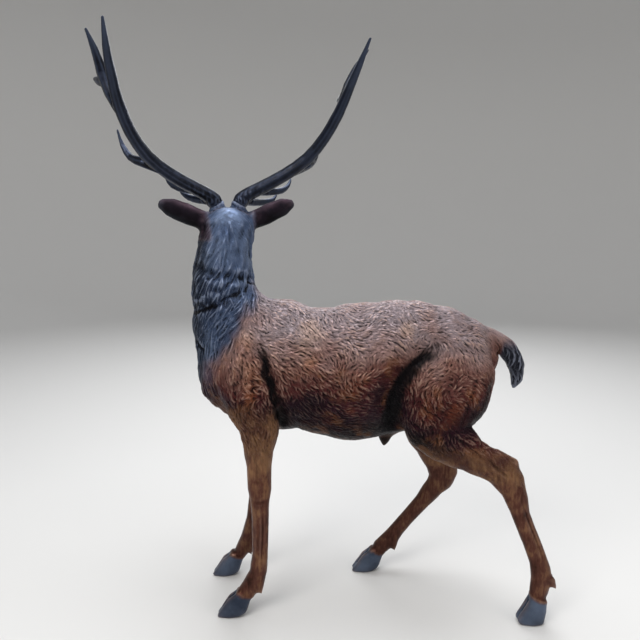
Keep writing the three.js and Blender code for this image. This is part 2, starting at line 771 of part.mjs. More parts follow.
function collapseEdges({ points, triangles }, wanted) {
  const count = points.length / 3;
  const quadrics = new Float64Array(count * QUADRIC);
  const around = Array.from({ length: count }, () => []);
  const stamp = new Int32Array(count);
  const point = (i) => v3(points[3 * i], points[3 * i + 1], points[3 * i + 2]);
  const normalOf = (a, b, c) => b.clone().sub(a).cross(c.clone().sub(a));

  for (let t = 0; t < triangles.length; t += 3) {
    const ids = [triangles[t], triangles[t + 1], triangles[t + 2]];
    const [a, b, c] = ids.map(point);
    const n = normalOf(a, b, c);
    const area = n.length();
    n.divideScalar(area || 1);
    const d = -n.dot(a);
    const plane = [n.x, n.y, n.z, d];
    for (const id of ids) {
      around[id].push(t);
      let k = id * QUADRIC;
      for (let i = 0; i < 4; i++) for (let j = i; j < 4; j++) quadrics[k++] += area * plane[i] * plane[j];
    }
  }

  // The best place for the point that replaces an edge, and what it costs.
  const solve = (a, b) => {
    const q = new Float64Array(QUADRIC);
    for (let i = 0; i < QUADRIC; i++) q[i] = quadrics[a * QUADRIC + i] + quadrics[b * QUADRIC + i];
    const middle = point(a).add(point(b)).multiplyScalar(0.5);
    const pull = ROUNDNESS * (q[0] + q[4] + q[7]);
    const m = new THREE.Matrix3(q[0] + pull, q[1], q[2], q[1], q[4] + pull, q[5], q[2], q[5], q[7] + pull);
    const right = v3(q[3], q[6], q[8]).negate().addScaledVector(middle, pull);
    const p = right.applyMatrix3(m.invert());
    const [x, y, z] = p.toArray();
    const cost =
      q[0] * x * x + 2 * q[1] * x * y + 2 * q[2] * x * z + 2 * q[3] * x +
      q[4] * y * y + 2 * q[5] * y * z + 2 * q[6] * y +
      q[7] * z * z + 2 * q[8] * z + q[9] + pull * p.distanceToSquared(middle);
    return { p, cost };
  };

  const neighbours = (i) => {
    const found = new Set();
    for (const t of around[i]) for (let k = 0; k < 3; k++) found.add(triangles[t + k]);
    found.delete(i);
    return found;
  };
  const heap = new Heap();
  const queue = (a, b) => heap.push([solve(a, b).cost, a, b, stamp[a], stamp[b]]);

  const turnsOver = (i, other, p) =>
    around[i].some((t) => {
      const ids = [triangles[t], triangles[t + 1], triangles[t + 2]];
      if (ids.includes(other)) return false;
      const was = normalOf(...ids.map(point));
      const now = normalOf(...ids.map((id) => (id === i ? p : point(id))));
      const turned = now.dot(was) < LEAST_AGREEMENT * now.length() * was.length();
      return turned || now.length() < LEAST_AREA;
    });

  for (let i = 0; i < count; i++) for (const j of neighbours(i)) if (i < j) queue(i, j);

  let left = triangles.length / 3;
  while (left > wanted && heap.items.length) {
    const [, a, b, stampA, stampB] = heap.pop();
    if (stamp[a] !== stampA || stamp[b] !== stampB) continue;
    const ringA = neighbours(a);
    const ringB = neighbours(b);
    let shared = 0;
    for (const i of ringA) if (ringB.has(i)) shared++;
    if (shared !== 2) continue;
    const { p } = solve(a, b);
    if (turnsOver(a, b, p) || turnsOver(b, a, p)) continue;
    points.set(p.toArray(), 3 * a);
    for (let i = 0; i < QUADRIC; i++) quadrics[a * QUADRIC + i] += quadrics[b * QUADRIC + i];
    const kept = [];
    for (const t of around[b]) {
      const slots = [0, 1, 2];
      if (slots.some((k) => triangles[t + k] === a)) {
        for (const k of slots) {
          const id = triangles[t + k];
          if (id !== a && id !== b) around[id] = around[id].filter((other) => other !== t);
        }
        around[a] = around[a].filter((other) => other !== t);
        triangles.fill(-1, t, t + 3);
        left--;
      } else {
        triangles[t + slots.find((k) => triangles[t + k] === b)] = a;
        kept.push(t);
      }
    }
    around[a].push(...kept);
    around[b] = [];
    stamp[a]++;
    stamp[b] = -1;
    for (const i of neighbours(a)) queue(a, i);
  }
  return { points, triangles: triangles.filter((id) => id >= 0) };
}

// ---------------------------------------------------------------- solids

const WELD = 1e-3; // mm

function solidOf(geometry) {
  const bare = new THREE.BufferGeometry().copy(geometry);
  bare.deleteAttribute("normal");
  bare.deleteAttribute("uv");
  const merged = mergeVertices(bare, WELD);
  return new wasm.Manifold(
    new wasm.Mesh({
      numProp: 3,
      vertProperties: new Float32Array(merged.attributes.position.array),
      triVerts: new Uint32Array(merged.index.array),
    }),
  );
}

function geometryOf(solid) {
  const mesh = solid.getMesh();
  const geometry = new THREE.BufferGeometry();
  geometry.setAttribute("position", new THREE.BufferAttribute(mesh.vertProperties, 3));
  geometry.setIndex(new THREE.BufferAttribute(mesh.triVerts, 1));
  geometry.computeVertexNormals();
  return geometry;
}

// ---------------------------------------------------------------- antlers

// A round tube through rows of [out, forward, up, radius] in the head's frame. Its first end is cut square
// to foot.
function tube(side, rows, { sides = 8, steps = 4, foot = null }) {
  const places = rows.map(([out, forward, up]) => headPoint(side, out, forward, up));
  const spine = new THREE.CatmullRomCurve3(places, false, "centripetal");
  const last = rows.length - 1;
  const count = last * steps;
  const sections = [];
  let across = null;
  for (let i = 0; i <= count; i++) {
    const t = i / count;
    const k = Math.min(Math.floor(t * last), last - 1);
    const radius = THREE.MathUtils.lerp(rows[k][3], rows[k + 1][3], t * last - k);
    const along = i === 0 && foot ? foot : spine.getTangent(t);
    across = across ?? (Math.abs(along.x) < 0.8 ? AXIS_X.clone() : AXIS_Y.clone());
    across.addScaledVector(along, -across.dot(along)).normalize();
    const third = along.clone().cross(across);
    const middle = spine.getPoint(t);
    sections.push(
      Array.from({ length: sides }, (_, n) => {
        const angle = (2 * Math.PI * n) / sides;
        return middle
          .clone()
          .addScaledVector(across, radius * Math.cos(angle))
          .addScaledVector(third, radius * Math.sin(angle));
      }),
    );
  }
  const loft = new LoftGeometry(sections, { capStart: true, capEnd: true });
  const solid = solidOf(loft);
  if (solid.volume() > 0) return solid;
  return solidOf(new LoftGeometry(sections.map((s) => s.toReversed()), { capStart: true, capEnd: true }));
}

const BURR = [44, 0, -6]; // middle of the joint between pedicle and antler
const BURR_AXIS = [0.5, -0.04, 0.86];

const BEAM = [
  [44, 0, -6, 28],
  [54, 0, 10, 31],
  [64, -1, 22, 27],
  [122, -10, 53, 26],
  [214, -30, 103, 25],
  [293, -70, 163, 23.5],
  [348, -115, 239, 22],
  [383, -165, 321, 20.5],
  [404, -213, 401, 17],
  [420, -265, 478, 12.5],
  [432, -312, 552, 4.5],
];
const CROWN = [
  [372, -146, 286, 16],
  [409, -134, 358, 20],
  [432, -124, 424, 20],
  [455, -140, 490, 13.5],
  [484, -165, 548, 4.5],
];
const CROWN_SPUR = [
  [416, -130, 392, 17],
  [430, -84, 394, 17],
  [438, -46, 398, 14],
  [445, -8, 403, 6],
];
const TREZ = [
  [246, -44, 122, 24],
  [304, -26, 142, 20],
  [344, 20, 161, 15],
  [370, 42, 204, 10],
  [386, 46, 260, 3.5],
];
const BEZ = [
  [104, -6, 44, 18],
  [160, 26, 45, 16],
  [210, 54, 56, 13.5],
  [236, 74, 80, 9],
  [245, 88, 112, 3.5],
];
const BROW = [
  [60, 2, 10, 20],
  [104, 40, 6, 16.5],
  [148, 74, 11, 13.5],
  [180, 94, 27, 9],
  [190, 102, 54, 3.5],
];

// The tips of these tines stand this far towards the stag's right and, on that side, this much lower.
const TINE_SWING = 28;
const TINE_DROP = 18;
const SPUR_SWING = -12;

function swung(rows, side, swing, drop) {
  return rows.map(([out, forward, up, radius], k) => {
    const share = (side * k) / (rows.length - 1);
    return [out + swing * share, forward, up - drop * share, radius];
  });
}

function jointAxis(side) {
  const [out, forward, up] = BURR_AXIS;
  return HEAD_SIDE.clone().multiplyScalar(side * out)
    .addScaledVector(HEAD_FORWARD, forward)
    .add(v3(0, 0, up))
    .normalize();
}

function antler(side) {
  const axis = jointAxis(side);
  const lift = axis.clone().multiplyScalar(ANTLER_GAP);
  const beam = tube(side, BEAM, { sides: 9, steps: 2, foot: axis });
  const branches = [
    CROWN,
    swung(CROWN_SPUR, side, SPUR_SWING, TINE_DROP),
    TREZ,
    swung(BEZ, side, TINE_SWING, TINE_DROP),
    swung(BROW, side, TINE_SWING, TINE_DROP),
  ];
  const tines = branches.map((rows) => tube(side, rows, { sides: 6, steps: 2 }));
  const whole = tines.reduce((sum, tine) => sum.add(tine), beam);
  return whole.translate(lift.toArray());
}

// What is taken off the top of a pedicle, so that its antler stands on a flat face.
const CUT = { radius: 52, height: 90, sides: 24 };

function aboveJoint(side) {
  const axis = jointAxis(side);
  const block = new THREE.CylinderGeometry(CUT.radius, CUT.radius, CUT.height, CUT.sides);
  block.translate(0, CUT.height / 2, 0);
  block.applyQuaternion(new THREE.Quaternion().setFromUnitVectors(AXIS_Y, axis));
  block.translate(...headPoint(side, ...BURR).toArray());
  return solidOf(block);
}

// ---------------------------------------------------------------- the body

function clay() {
  return [
    ...trunk(),
    ...neck(),
    ...tail(),
    ...sheath(),
    ...creases(),
    ...legs(),
    ...tailNotch(),
    ...folds(),
    ...skull(),
    ...SIDES.flatMap(face),
    ...SIDES.flatMap(ear),
  ];
}

// What is taken off the soles, so that the hooves stand flat on the ground.
const GROUND = [2600, 1400, 200];

function belowGround() {
  return solidOf(new THREE.BoxGeometry(...GROUND).translate(0, 0, -GROUND[2] / 2));
}

function body() {
  const shapes = clay();
  const box = new THREE.Box3();
  for (const shape of shapes) box.union(shape.box);
  box.expandByScalar(2 * CELL);
  const mesh = meshField((x, y, z) => coatedDistance(shapes, x, y, z), box);
  const { points, triangles } = collapseEdges(mesh, BODY_TRIANGLES);
  const geometry = new THREE.BufferGeometry();
  geometry.setAttribute("position", new THREE.BufferAttribute(Float32Array.from(points), 3));
  geometry.setIndex(Array.from(triangles));
  const cuts = [belowGround(), ...SIDES.map(aboveJoint)];
  return cuts.reduce((solid, cut) => solid.subtract(cut), solidOf(geometry));
}

// ---------------------------------------------------------------- the stag

const BROWN = { color: 0x5b3a26, roughness: 0.45, metalness: 0.75 };
const BLUE_BLACK = { color: 0x1d2230, roughness: 0.4, metalness: 0.75 };

function piece(name, solid, bronze) {
  const mesh = new THREE.Mesh(geometryOf(solid), new THREE.MeshStandardMaterial(bronze));
  mesh.name = name;
  return mesh;
}

const stag = new THREE.Group();
stag.add(
  piece("stag_body", body(), BROWN),
  piece("antler_left", antler(LEFT), BLUE_BLACK),
  piece("antler_right", antler(RIGHT), BLUE_BLACK),
);

const bounds = new THREE.Box3().setFromObject(stag);
const centre = bounds.getCenter(v3(0, 0, 0));
stag.position.set(-centre.x, -centre.y, -bounds.min.z);

export default stag;
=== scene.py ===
"""A life-size bronze stag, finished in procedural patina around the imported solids.

The stag's chest points along -X, its left flank faces -Y, and it looks away over its right side.
The skin and both antlers are fine meshes drawn from the solids. Their facets are smoothed out,
then the folds, tendons, hooves, face and every lock of the coat are raised on them vertex by
vertex. That is worked out in millimetres from the floor under the trunk, and set in metres.
"""
import math

import bpy
import numpy as np
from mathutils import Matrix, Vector, kdtree
from mathutils.bvhtree import BVHTree


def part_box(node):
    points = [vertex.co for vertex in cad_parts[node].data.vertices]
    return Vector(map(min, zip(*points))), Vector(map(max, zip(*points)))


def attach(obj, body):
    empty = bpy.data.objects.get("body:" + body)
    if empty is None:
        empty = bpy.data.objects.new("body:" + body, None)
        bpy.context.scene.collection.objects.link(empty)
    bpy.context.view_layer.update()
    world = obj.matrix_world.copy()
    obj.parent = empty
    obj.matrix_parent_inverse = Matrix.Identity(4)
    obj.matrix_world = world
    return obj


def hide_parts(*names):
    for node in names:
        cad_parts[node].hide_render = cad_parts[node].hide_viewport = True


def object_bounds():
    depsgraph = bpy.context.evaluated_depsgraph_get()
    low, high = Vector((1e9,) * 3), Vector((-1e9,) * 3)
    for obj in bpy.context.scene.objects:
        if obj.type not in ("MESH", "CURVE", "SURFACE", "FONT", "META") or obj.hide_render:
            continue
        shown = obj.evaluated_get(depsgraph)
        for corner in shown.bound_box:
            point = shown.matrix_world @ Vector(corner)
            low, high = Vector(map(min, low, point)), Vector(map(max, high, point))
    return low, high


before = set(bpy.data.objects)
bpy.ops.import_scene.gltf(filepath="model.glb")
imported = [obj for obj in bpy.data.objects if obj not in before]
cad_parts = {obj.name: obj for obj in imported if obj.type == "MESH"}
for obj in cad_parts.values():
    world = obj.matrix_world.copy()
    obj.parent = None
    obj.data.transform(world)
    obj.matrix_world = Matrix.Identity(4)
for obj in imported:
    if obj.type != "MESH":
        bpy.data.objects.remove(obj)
CAD_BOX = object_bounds()

# ---------------- driving sizes

MM = 0.001
SKIN_VOXEL = 3.1 * MM
ANTLER_VOXEL = 1.9 * MM
SKIN_TRIANGLES = 198_000
ANTLER_TRIANGLES = 40_000
FACET = 13 * MM  # how far the smoothing reaches, enough to take the facets out of the skin
ANTLER_FACET = 7 * MM
GIRTH_ROUNDS = 2  # how often the girth that smoothing takes away is put back
WELD = 0.01 * MM
BOX_MARGIN = 0.3 * MM  # the skin stays this far inside the box of the solids
SEED = 20

rng = np.random.default_rng(SEED)
CORNERS = [np.array([n & 1, n >> 1 & 1, n >> 2 & 1]) for n in range(8)]  # of a cell in space


# ---------------- mesh arrays

def unit(vectors):
    length = np.linalg.norm(vectors, axis=-1, keepdims=True)
    return vectors / np.maximum(length, 1e-12)


def dot(a, b):
    return np.einsum("...i,...i->...", a, b)


def rise(value, low, high):
    """0 below low, 1 above high, a smooth slope between; with low above high it falls instead."""
    t = np.clip((np.asarray(value, float) - low) / (high - low), 0, 1)
    return t * t * (3 - 2 * t)


def values_of(items, field, width, kind):
    """One field of all vertices or edges, in rows of that many numbers."""
    values = np.empty(len(items) * width, kind)
    items.foreach_get(field, values)
    return values.reshape(-1, width)


def points_of(mesh):
    return values_of(mesh.vertices, "co", 3, float)


def move_points(mesh, co):
    mesh.vertices.foreach_set("co", co.astype(np.float32).ravel())
    mesh.update()


def normals_of(mesh):
    return values_of(mesh.vertex_normals, "vector", 3, np.float32).astype(float)


def edges_of(mesh):
    return values_of(mesh.edges, "vertices", 2, np.int32)


def blurred(values, edges, passes):
    """Values averaged with their neighbours' over and over."""
    count = len(values)
    near = np.bincount(edges.ravel(), minlength=count).astype(float)
    a, b = edges[:, 0], edges[:, 1]
    flat = values.reshape(count, -1).copy()
    for _ in range(passes):
        for axis in range(flat.shape[1]):
            column = flat[:, axis]
            total = np.bincount(a, column[b], count) + np.bincount(b, column[a], count)
            flat[:, axis] = 0.5 * column + 0.5 * total / near
    return flat.reshape(values.shape)


def passes_for(reach, spacing):
    """Blur passes that spread a value about as far as reach, on a mesh with that spacing."""
    return max(1, round(2 * (reach / spacing) ** 2))


def key_of(cell, span):
    """One number for each cell of a grid of that span."""
    return (cell[:, 0] * span[1] + cell[:, 1]) * span[2] + cell[:, 2]


def spread(values, mm, reach):
    """Values averaged over cells of that size in space, a quick wide blur."""
    place = (mm - mm.min(0)) / reach
    cell = np.floor(place).astype(np.int64)
    part = place - cell
    span = cell.max(0) + 2
    flat = values.reshape(len(values), -1)
    size = int(np.prod(span))
    total = np.zeros((size, flat.shape[1]))
    share = np.zeros(size)
    corners = []
    for step in CORNERS:
        weight = np.prod(np.where(step, part, 1 - part), axis=1)
        key = key_of(cell + step, span)
        corners.append((key, weight))
        share += np.bincount(key, weight, size)
        for axis in range(flat.shape[1]):
            total[:, axis] += np.bincount(key, weight * flat[:, axis], size)
    total /= np.maximum(share, 1e-9)[:, None]
    out = sum(weight[:, None] * total[key] for key, weight in corners)
    return out.reshape(values.shape)


def added(name, data):
    """A new object in the scene."""
    obj = bpy.data.objects.new(name, data)
    bpy.context.scene.collection.objects.link(obj)
    return obj


def evaluated(obj):
    """The object's mesh with its modifiers applied, in place of the old one."""
    graph = bpy.context.evaluated_depsgraph_get()
    mesh = bpy.data.meshes.new_from_object(obj.evaluated_get(graph))
    obj.modifiers.clear()
    obj.data = mesh
    return mesh


def fine_copy(node, name, voxel, reach):
    """A dense even mesh over a CAD node, with its facets smoothed out and its girth kept."""
    obj = added(name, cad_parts[node].data.copy())
    weld = obj.modifiers.new("weld", "WELD")
    weld.merge_threshold = WELD
    remesh = obj.modifiers.new("remesh", "REMESH")
    remesh.mode = "VOXEL"
    remesh.voxel_size = voxel
    mesh = evaluated(obj)
    mesh.materials.clear()
    co, edges = points_of(mesh), edges_of(mesh)
    passes = passes_for(reach, voxel)
    smooth = blurred(co, edges, passes)
    for _ in range(GIRTH_ROUNDS):
        smooth += blurred(co - smooth, edges, passes)
    move_points(mesh, smooth)
    return obj


def thinned_with(obj, triangles, readings):
    """Collapses the flattest edges; each vertex left takes the readings of the nearest before."""
    before = kdtree.KDTree(len(obj.data.vertices))
    for index, place in enumerate(points_of(obj.data)):
        before.insert(place, index)
    before.balance()
    now = sum(len(p.vertices) - 2 for p in obj.data.polygons)
    collapse = obj.modifiers.new("collapse", "DECIMATE")
    collapse.ratio = min(1.0, triangles / now)
    collapse.use_collapse_triangulate = True
    mesh = evaluated(obj)
    mesh.shade_smooth()
    nearest = np.array([before.find(place)[1] for place in points_of(mesh)])
    for name, values in readings.items():
        kind, field = ("FLOAT_VECTOR", "vector") if values.ndim == 2 else ("FLOAT", "value")
        attribute = mesh.attributes.new(name, kind, "POINT")
        attribute.data.foreach_set(field, values[nearest].astype(np.float32).ravel())


def keep_in_box(co):
    low, high = (np.array(corner) for corner in CAD_BOX)
    return np.clip(co, low + BOX_MARGIN * np.array([1, 1, 0]), high - BOX_MARGIN)


# ---------------- landmarks, measured on the solids

def nearest_to(points, target):
    return points[np.argmin(np.linalg.norm(points - target, axis=1))]


def antler_feet():
    """The innermost point of each antler, by its pedicle."""
    left, right = (points_of(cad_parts[node].data) for node in ("antler_left", "antler_right"))
    foot_right = right.mean(0)
    for _ in range(3):  # by then each is the nearest to the other
        foot_left = nearest_to(left, foot_right)
        foot_right = nearest_to(right, foot_left)
    return foot_left, foot_right


FOOT_LEFT, FOOT_RIGHT = antler_feet()
LEFT, RIGHT = -1, 1
UP = np.array([0.0, 0.0, 1.0])
HEAD_TURN = math.radians(18)
HEAD_SIDE = np.array([math.cos(HEAD_TURN), math.sin(HEAD_TURN), 0.0])  # towards the right ear
HEAD_FORWARD = np.cross(UP, HEAD_SIDE)

# From here on places are in millimetres from the floor under the trunk.
POLL = np.array([-349.0, 100.0, 1560.0])  # the top of the head between the antlers
FEET_OFFSET = np.array([-2.0, 3.8, 8.1])  # from the poll to the middle between the antlers' feet
ORIGIN = (FOOT_LEFT + FOOT_RIGHT) / 2 - (FEET_OFFSET + POLL) * MM


def to_mm(co):
    """Millimetres from the floor under the trunk: -x at the chest, -y at the left flank."""
    return (np.asarray(co, float) - ORIGIN) / MM


def head_mm(mm):
    """Out to the right, forwards along the gaze and up, from the poll."""
    offset = np.asarray(mm, float) - POLL
    return np.stack([offset @ HEAD_SIDE, offset @ HEAD_FORWARD, offset @ UP], -1)


def from_head(out, forward, up):
    return POLL + out * HEAD_SIDE + forward * HEAD_FORWARD + up * UP


# ---------------- noise

CELL_PRIMES = (73856093, 19349663, 83492791)
SEED_PRIME = 2654435761
MIXING_PRIME = 1274126177


def lattice(cells, seed):
    """A repeatable number from -1 to 1 for every whole-number cell."""
    n = seed * SEED_PRIME & 0x7FFFFFFF
    for axis, prime in enumerate(CELL_PRIMES):
        n = cells[..., axis] * prime ^ n
    n = (n ^ (n >> 13)) * MIXING_PRIME & 0x7FFFFFFFFFFF
    n = n ^ (n >> 16)
    return (n & 0xFFFF) / 32767.5 - 1


def noise(mm, size, seed):
    """Smooth noise from -1 to 1 with lumps of about that size."""
    p = mm / size
    cell = np.floor(p).astype(np.int64)
    t = p - cell
    t = t * t * (3 - 2 * t)
    total = np.zeros(len(mm))
    for step in CORNERS:
        weight = np.prod(np.where(step, t, 1 - t), axis=1)
        total += weight * lattice(cell + step, seed)
    return total


# ---------------- strokes: grooves and ridges along a path

CURVE_PIECES = 8  # straight pieces between two rows of a path
STROKE_REACH = 2.6  # in widths, where a stroke has faded away
STROKE_FALL = 1.4


def resampled(path):
    """A smooth curve through rows of place and values, as many short straight pieces."""
    rows = np.asarray(path, float)
    padded = np.vstack([2 * rows[0] - rows[1], rows, 2 * rows[-1] - rows[-2]])
    out = []
    for k in range(1, len(padded) - 2):
        p0, p1, p2, p3 = padded[k - 1 : k + 3]
        square, cube = 2 * p0 - 5 * p1 + 4 * p2 - p3, 3 * p1 - p0 - 3 * p2 + p3
        for t in np.arange(CURVE_PIECES) / CURVE_PIECES:
            out.append(0.5 * (2 * p1 + (p2 - p0) * t + square * t * t + cube * t**3))
    out.append(rows[-1])
    return np.array(out)


def along_path(mm, path, reach):
    """Which vertices are within reach of a path, how far from it, and the path's values there."""
    low, high = path[:, :3].min(0) - reach, path[:, :3].max(0) + reach
    near = np.flatnonzero(np.all((mm > low) & (mm < high), axis=1))
    best = np.full(len(near), 1e9)
    values = np.zeros((len(near), path.shape[1]))
    p = mm[near]
    for a, b in zip(path[:-1], path[1:]):
        along = b[:3] - a[:3]
        t = np.clip((p - a[:3]) @ along / max(along @ along, 1e-9), 0, 1)
        distance = np.linalg.norm(p - a[:3] - t[:, None] * along, axis=1)
        closer = distance < best
        best[closer] = distance[closer]
        values[closer] = a + t[closer, None] * (b - a)
    inside = best < reach
    return near[inside], best[inside], values[inside]


def stroke(mm, target, path, width, height):
    """Adds a ridge, or a groove where height is below zero, along rows of x, y, z and strength."""
    if len(path) < 2:
        return
    which, distance, values = along_path(mm, resampled(path), STROKE_REACH * width)
    profile = np.exp(-((distance / width) ** 2) * STROKE_FALL)
    target[which] += height * profile * np.clip(values[:, 3], 0, None)


# ---------------- pairs of vertices and nearby seeds

def neighbours(points, seeds, reach):
    """All pairs of a point and a seed closer than reach, by a grid of cells of that size."""
    origin = np.minimum(points.min(0), seeds.min(0)) - reach
    point_cell = np.floor((points - origin) / reach).astype(np.int64)
    seed_cell = np.floor((seeds - origin) / reach).astype(np.int64)
    span = np.maximum(point_cell.max(0), seed_cell.max(0)) + 3
    key = key_of(point_cell, span)
    order = np.argsort(key, kind="stable")
    key = key[order]
    pairs_point, pairs_seed = [], []
    for step in np.ndindex(3, 3, 3):
        wanted = key_of(seed_cell + np.array(step) - 1, span)
        start = np.searchsorted(key, wanted, "left")
        count = np.searchsorted(key, wanted, "right") - start
        owner = np.repeat(np.arange(len(seeds)), count)
        first = np.repeat(start - np.concatenate([[0], np.cumsum(count)[:-1]]), count)
        index = order[first + np.arange(count.sum())]
        close = np.sum((points[index] - seeds[owner]) ** 2, axis=1) < reach * reach
        pairs_point.append(index[close])
        pairs_seed.append(owner[close])
    return np.concatenate(pairs_point), np.concatenate(pairs_seed)


WIDEST = (401, 4001, 4001)  # more sizes and cells than there can be


def scattered(mm, chance_of, spacing):
    """Vertices spread evenly at about that spacing, where chance_of says."""
    cell = np.floor(mm / spacing[:, None] + rng.random(3)).astype(np.int64)
    size = np.round(spacing * 7).astype(np.int64)
    key = key_of(cell, WIDEST) * WIDEST[0] + size
    shuffled = rng.permutation(len(mm))
    _, first = np.unique(key[shuffled], return_index=True)
    chosen = shuffled[first]
    return chosen[rng.random(len(chosen)) < chance_of[chosen]]


# ---------------- the skin

skin = fine_copy("stag_body", "stag_skin", SKIN_VOXEL, FACET)
base = to_mm(points_of(skin.data))
skin_edges = edges_of(skin.data)
base_normals = unit(blurred(normals_of(skin.data), skin_edges, passes_for(10 * MM, SKIN_VOXEL)))
surface = BVHTree.FromPolygons(base.tolist(), [p.vertices[:] for p in skin.data.polygons])
FLANK_START, FACE_START, FRONT_START, NECK_START = 900, 300, 200, 500  # rays start this far out


def cast(start, direction):
    """The first place on the skin from a start outside it, or None where it is missed."""
    hit = surface.ray_cast(Vector(start), Vector(direction).normalized())[0]
    return None if hit is None else np.array(hit)


def path_of(rays):
    """The path where rays meet the skin, from rows of start, direction and strength."""
    hits = [(cast(start, direction), strength) for start, direction, strength in rays]
    return [[*hit, strength] for hit, strength in hits if hit is not None]


def along_side(side, rows):
    """A path on the outside of one flank or leg, from rows of x, z and strength."""
    return path_of(((x, side * FLANK_START, z), (0, -side, 0), s) for x, z, s in rows)


def along_face(side, rows):
    """A path on one side of the head, from rows of forward, up and strength."""
    inward = -side * HEAD_SIDE
    return path_of((from_head(side * FACE_START, f, up), inward, s) for f, up, s in rows)


def along_front(rows, inward):
    """A path on the head from rows of out, forward, up and strength, pressed on in a direction."""
    back = FRONT_START * inward
    return path_of((from_head(out, f, up) - back, inward, s) for out, f, up, s in rows)


def press(lines, mm, target, path_for):
    """Strokes for a table of lines: rows for path_for, width, and height or strength."""
    for rows, width, height in lines:
        stroke(mm, target, path_for(rows), width, height)


# Where the regions lie, each from 0 to 1.
X, Y, Z = base.T
OUT, FORWARD, UPWARD = head_mm(base).T
EAR = rise(np.abs(OUT), 78, 100) * rise(UPWARD, -140, -120) * rise(FORWARD, 60, 30)
EAR = EAR * rise(np.abs(OUT), 400, 390)
HEAD_EDGE = -40 + 0.46 * np.clip(-60 - UPWARD, 0, None)  # how far forward the face begins
FACE = rise(FORWARD - HEAD_EDGE, -16, 16) * rise(Z, 1225, 1285)
FACE = np.maximum(FACE, EAR)
NECK_BASE = -425 + 0.54 * (Z - 878)  # the slanting line where the neck and chest meet the shoulder
NECK = rise(X - NECK_BASE, 50, -15) * rise(Z, 800, 880) * (1 - FACE)
TAIL = rise(X, 622, 655) * rise(np.abs(Y), 95, 70) * rise(Z, 820, 850)
LEG = rise(Z, 760, 640) * rise(np.abs(Y), 25, 60)
UNDERSIDE = rise(-base_normals[:, 2], 0.25, 0.8) * rise(X, -330, -250) * rise(Z, 600, 640)

# The neck's parting runs from the crown, which faces back, round to the withers.
AROUND = np.arctan2(Y - 20 - 0.1 * np.clip(Z - 1220, 0, None), X + 352)
PARTING = np.radians(np.interp(Z, [1200, 1290, 1390, 1490], [0, -24, -55, -72]))
FROM_PARTING = (AROUND - PARTING + math.pi) % (2 * math.pi) - math.pi

# x, y and the height of the coronet
HOOVES = [(-292, -140, 89), (-354, 140, 89), (821, -187, 100), (240, 171, 89)]
CORONET_SLOPE = 0.38  # the coronet falls towards the heel
HOOF_REACH = 118


def hoof_depth(mm):
    """How far each vertex lies below the coronet of the hoof it belongs to, in millimetres."""
    depth = np.full(len(mm), -1e3)
    for x, y, height in HOOVES:
        near = np.hypot(mm[:, 0] - x, mm[:, 1] - y) < HOOF_REACH
        below = height - CORONET_SLOPE * (mm[:, 0] - x) - mm[:, 2]
        depth[near] = np.maximum(depth[near], below[near])
    return depth


HOOF_DEPTH = hoof_depth(base)
HOOF = rise(HOOF_DEPTH, 0, 5)


# ---------------- the lie of the coat

def lie_of_coat():
    """The direction in which hair lies at every vertex, along the surface."""
    side = np.sign(Y)
    flow = np.zeros_like(base)

    def add(weight, x, y, z):
        flow[:, 0] += weight * x
        flow[:, 1] += weight * y
        flow[:, 2] += weight * z

    trunk = (1 - NECK) * (1 - FACE) * (1 - LEG) * (1 - TAIL)
    add(trunk, 1.0, 0, -0.58)
    shoulder = trunk * rise(X, -120, -220) * rise(Z, 1140, 1010)
    add(shoulder, -0.35, 0, -1.5)
    haunch = trunk * rise(X, 330, 420) * rise(Z, 1130, 1040)
    add(haunch, -0.1, 0, -1.1)
    add(UNDERSIDE, 0.6, -0.4 * side, 0)
    wider = 0.45 + 0.5 * rise(Z, 1330, 1200) * rise(X, -330, -250)
    parted = NECK * np.tanh(FROM_PARTING / 0.3) * wider
    add(parted, -np.sin(AROUND), 0, 0)
    add(parted * np.cos(AROUND), 0, 1, 0)
    add(NECK, 0, 0, -1.0)
    fore = LEG * rise(X, 120, 60)
    add(fore, 0.02, 0, -1)
    hind = LEG * rise(X, 60, 120)
    near_hind = hind * rise(Y, 20, -20)
    gaskin = rise(Z, 560, 640)
    add(near_hind, 0.25 + 0.75 * gaskin, 0, -0.9)
    add(hind - near_hind, 0.5 * rise(Z, 430, 520) - 0.5 * rise(Z, 430, 380), 0, -1)
    add(TAIL, 0.8 * rise(Z, 1000, 1060), 0, -1)
    back = -HEAD_FORWARD
    add(FACE * (1 - EAR), back[0], back[1], 0.25)
    outward = np.sign(OUT)[:, None] * HEAD_SIDE
    flow[:] += EAR[:, None] * (outward + 0.35 * UP)
    return flow


def laid_down(flow, normals):
    return unit(flow - dot(flow, normals)[:, None] * normals)


def turned(flow, normals, angle):
    return flow * np.cos(angle)[:, None] + np.cross(normals, flow) * np.sin(angle)[:, None]


# whorls of the coat on both flanks: x, z, reach and which way they turn
WHORLS = [(455, 905, 95, 1), (-205, 900, 70, -1), (150, 960, 80, 1), (395, 1080, 60, -1)]
WHORL_PULL = 2.2

flow = laid_down(lie_of_coat(), base_normals)
for x, z, reach, turn in WHORLS:
    for side in (LEFT, RIGHT):
        centre = cast((x, side * FLANK_START, z), (0, -side, 0))
        offset = base - centre
        near = np.exp(-((np.linalg.norm(offset, axis=1) / reach) ** 2))
        swirl = turn * np.cross(base_normals, offset) + 0.5 * offset
        flow = laid_down(flow + WHORL_PULL * near[:, None] * unit(swirl), base_normals)
wander = 0.85 * noise(base, 105, 3) + 0.65 * noise(base, 46, 4)
calm = (1 - 0.6 * NECK) * (1 - 0.8 * FACE) * (1 - 0.8 * LEG) * (1 - 0.7 * TAIL)
flow = turned(flow, base_normals, wander * calm)


# ---------------- anatomy: folds, muscles, tendons

def wavering(size, seeds):
    """Noise in all three directions."""
    return np.stack([noise(base, size, seed) for seed in seeds], -1)


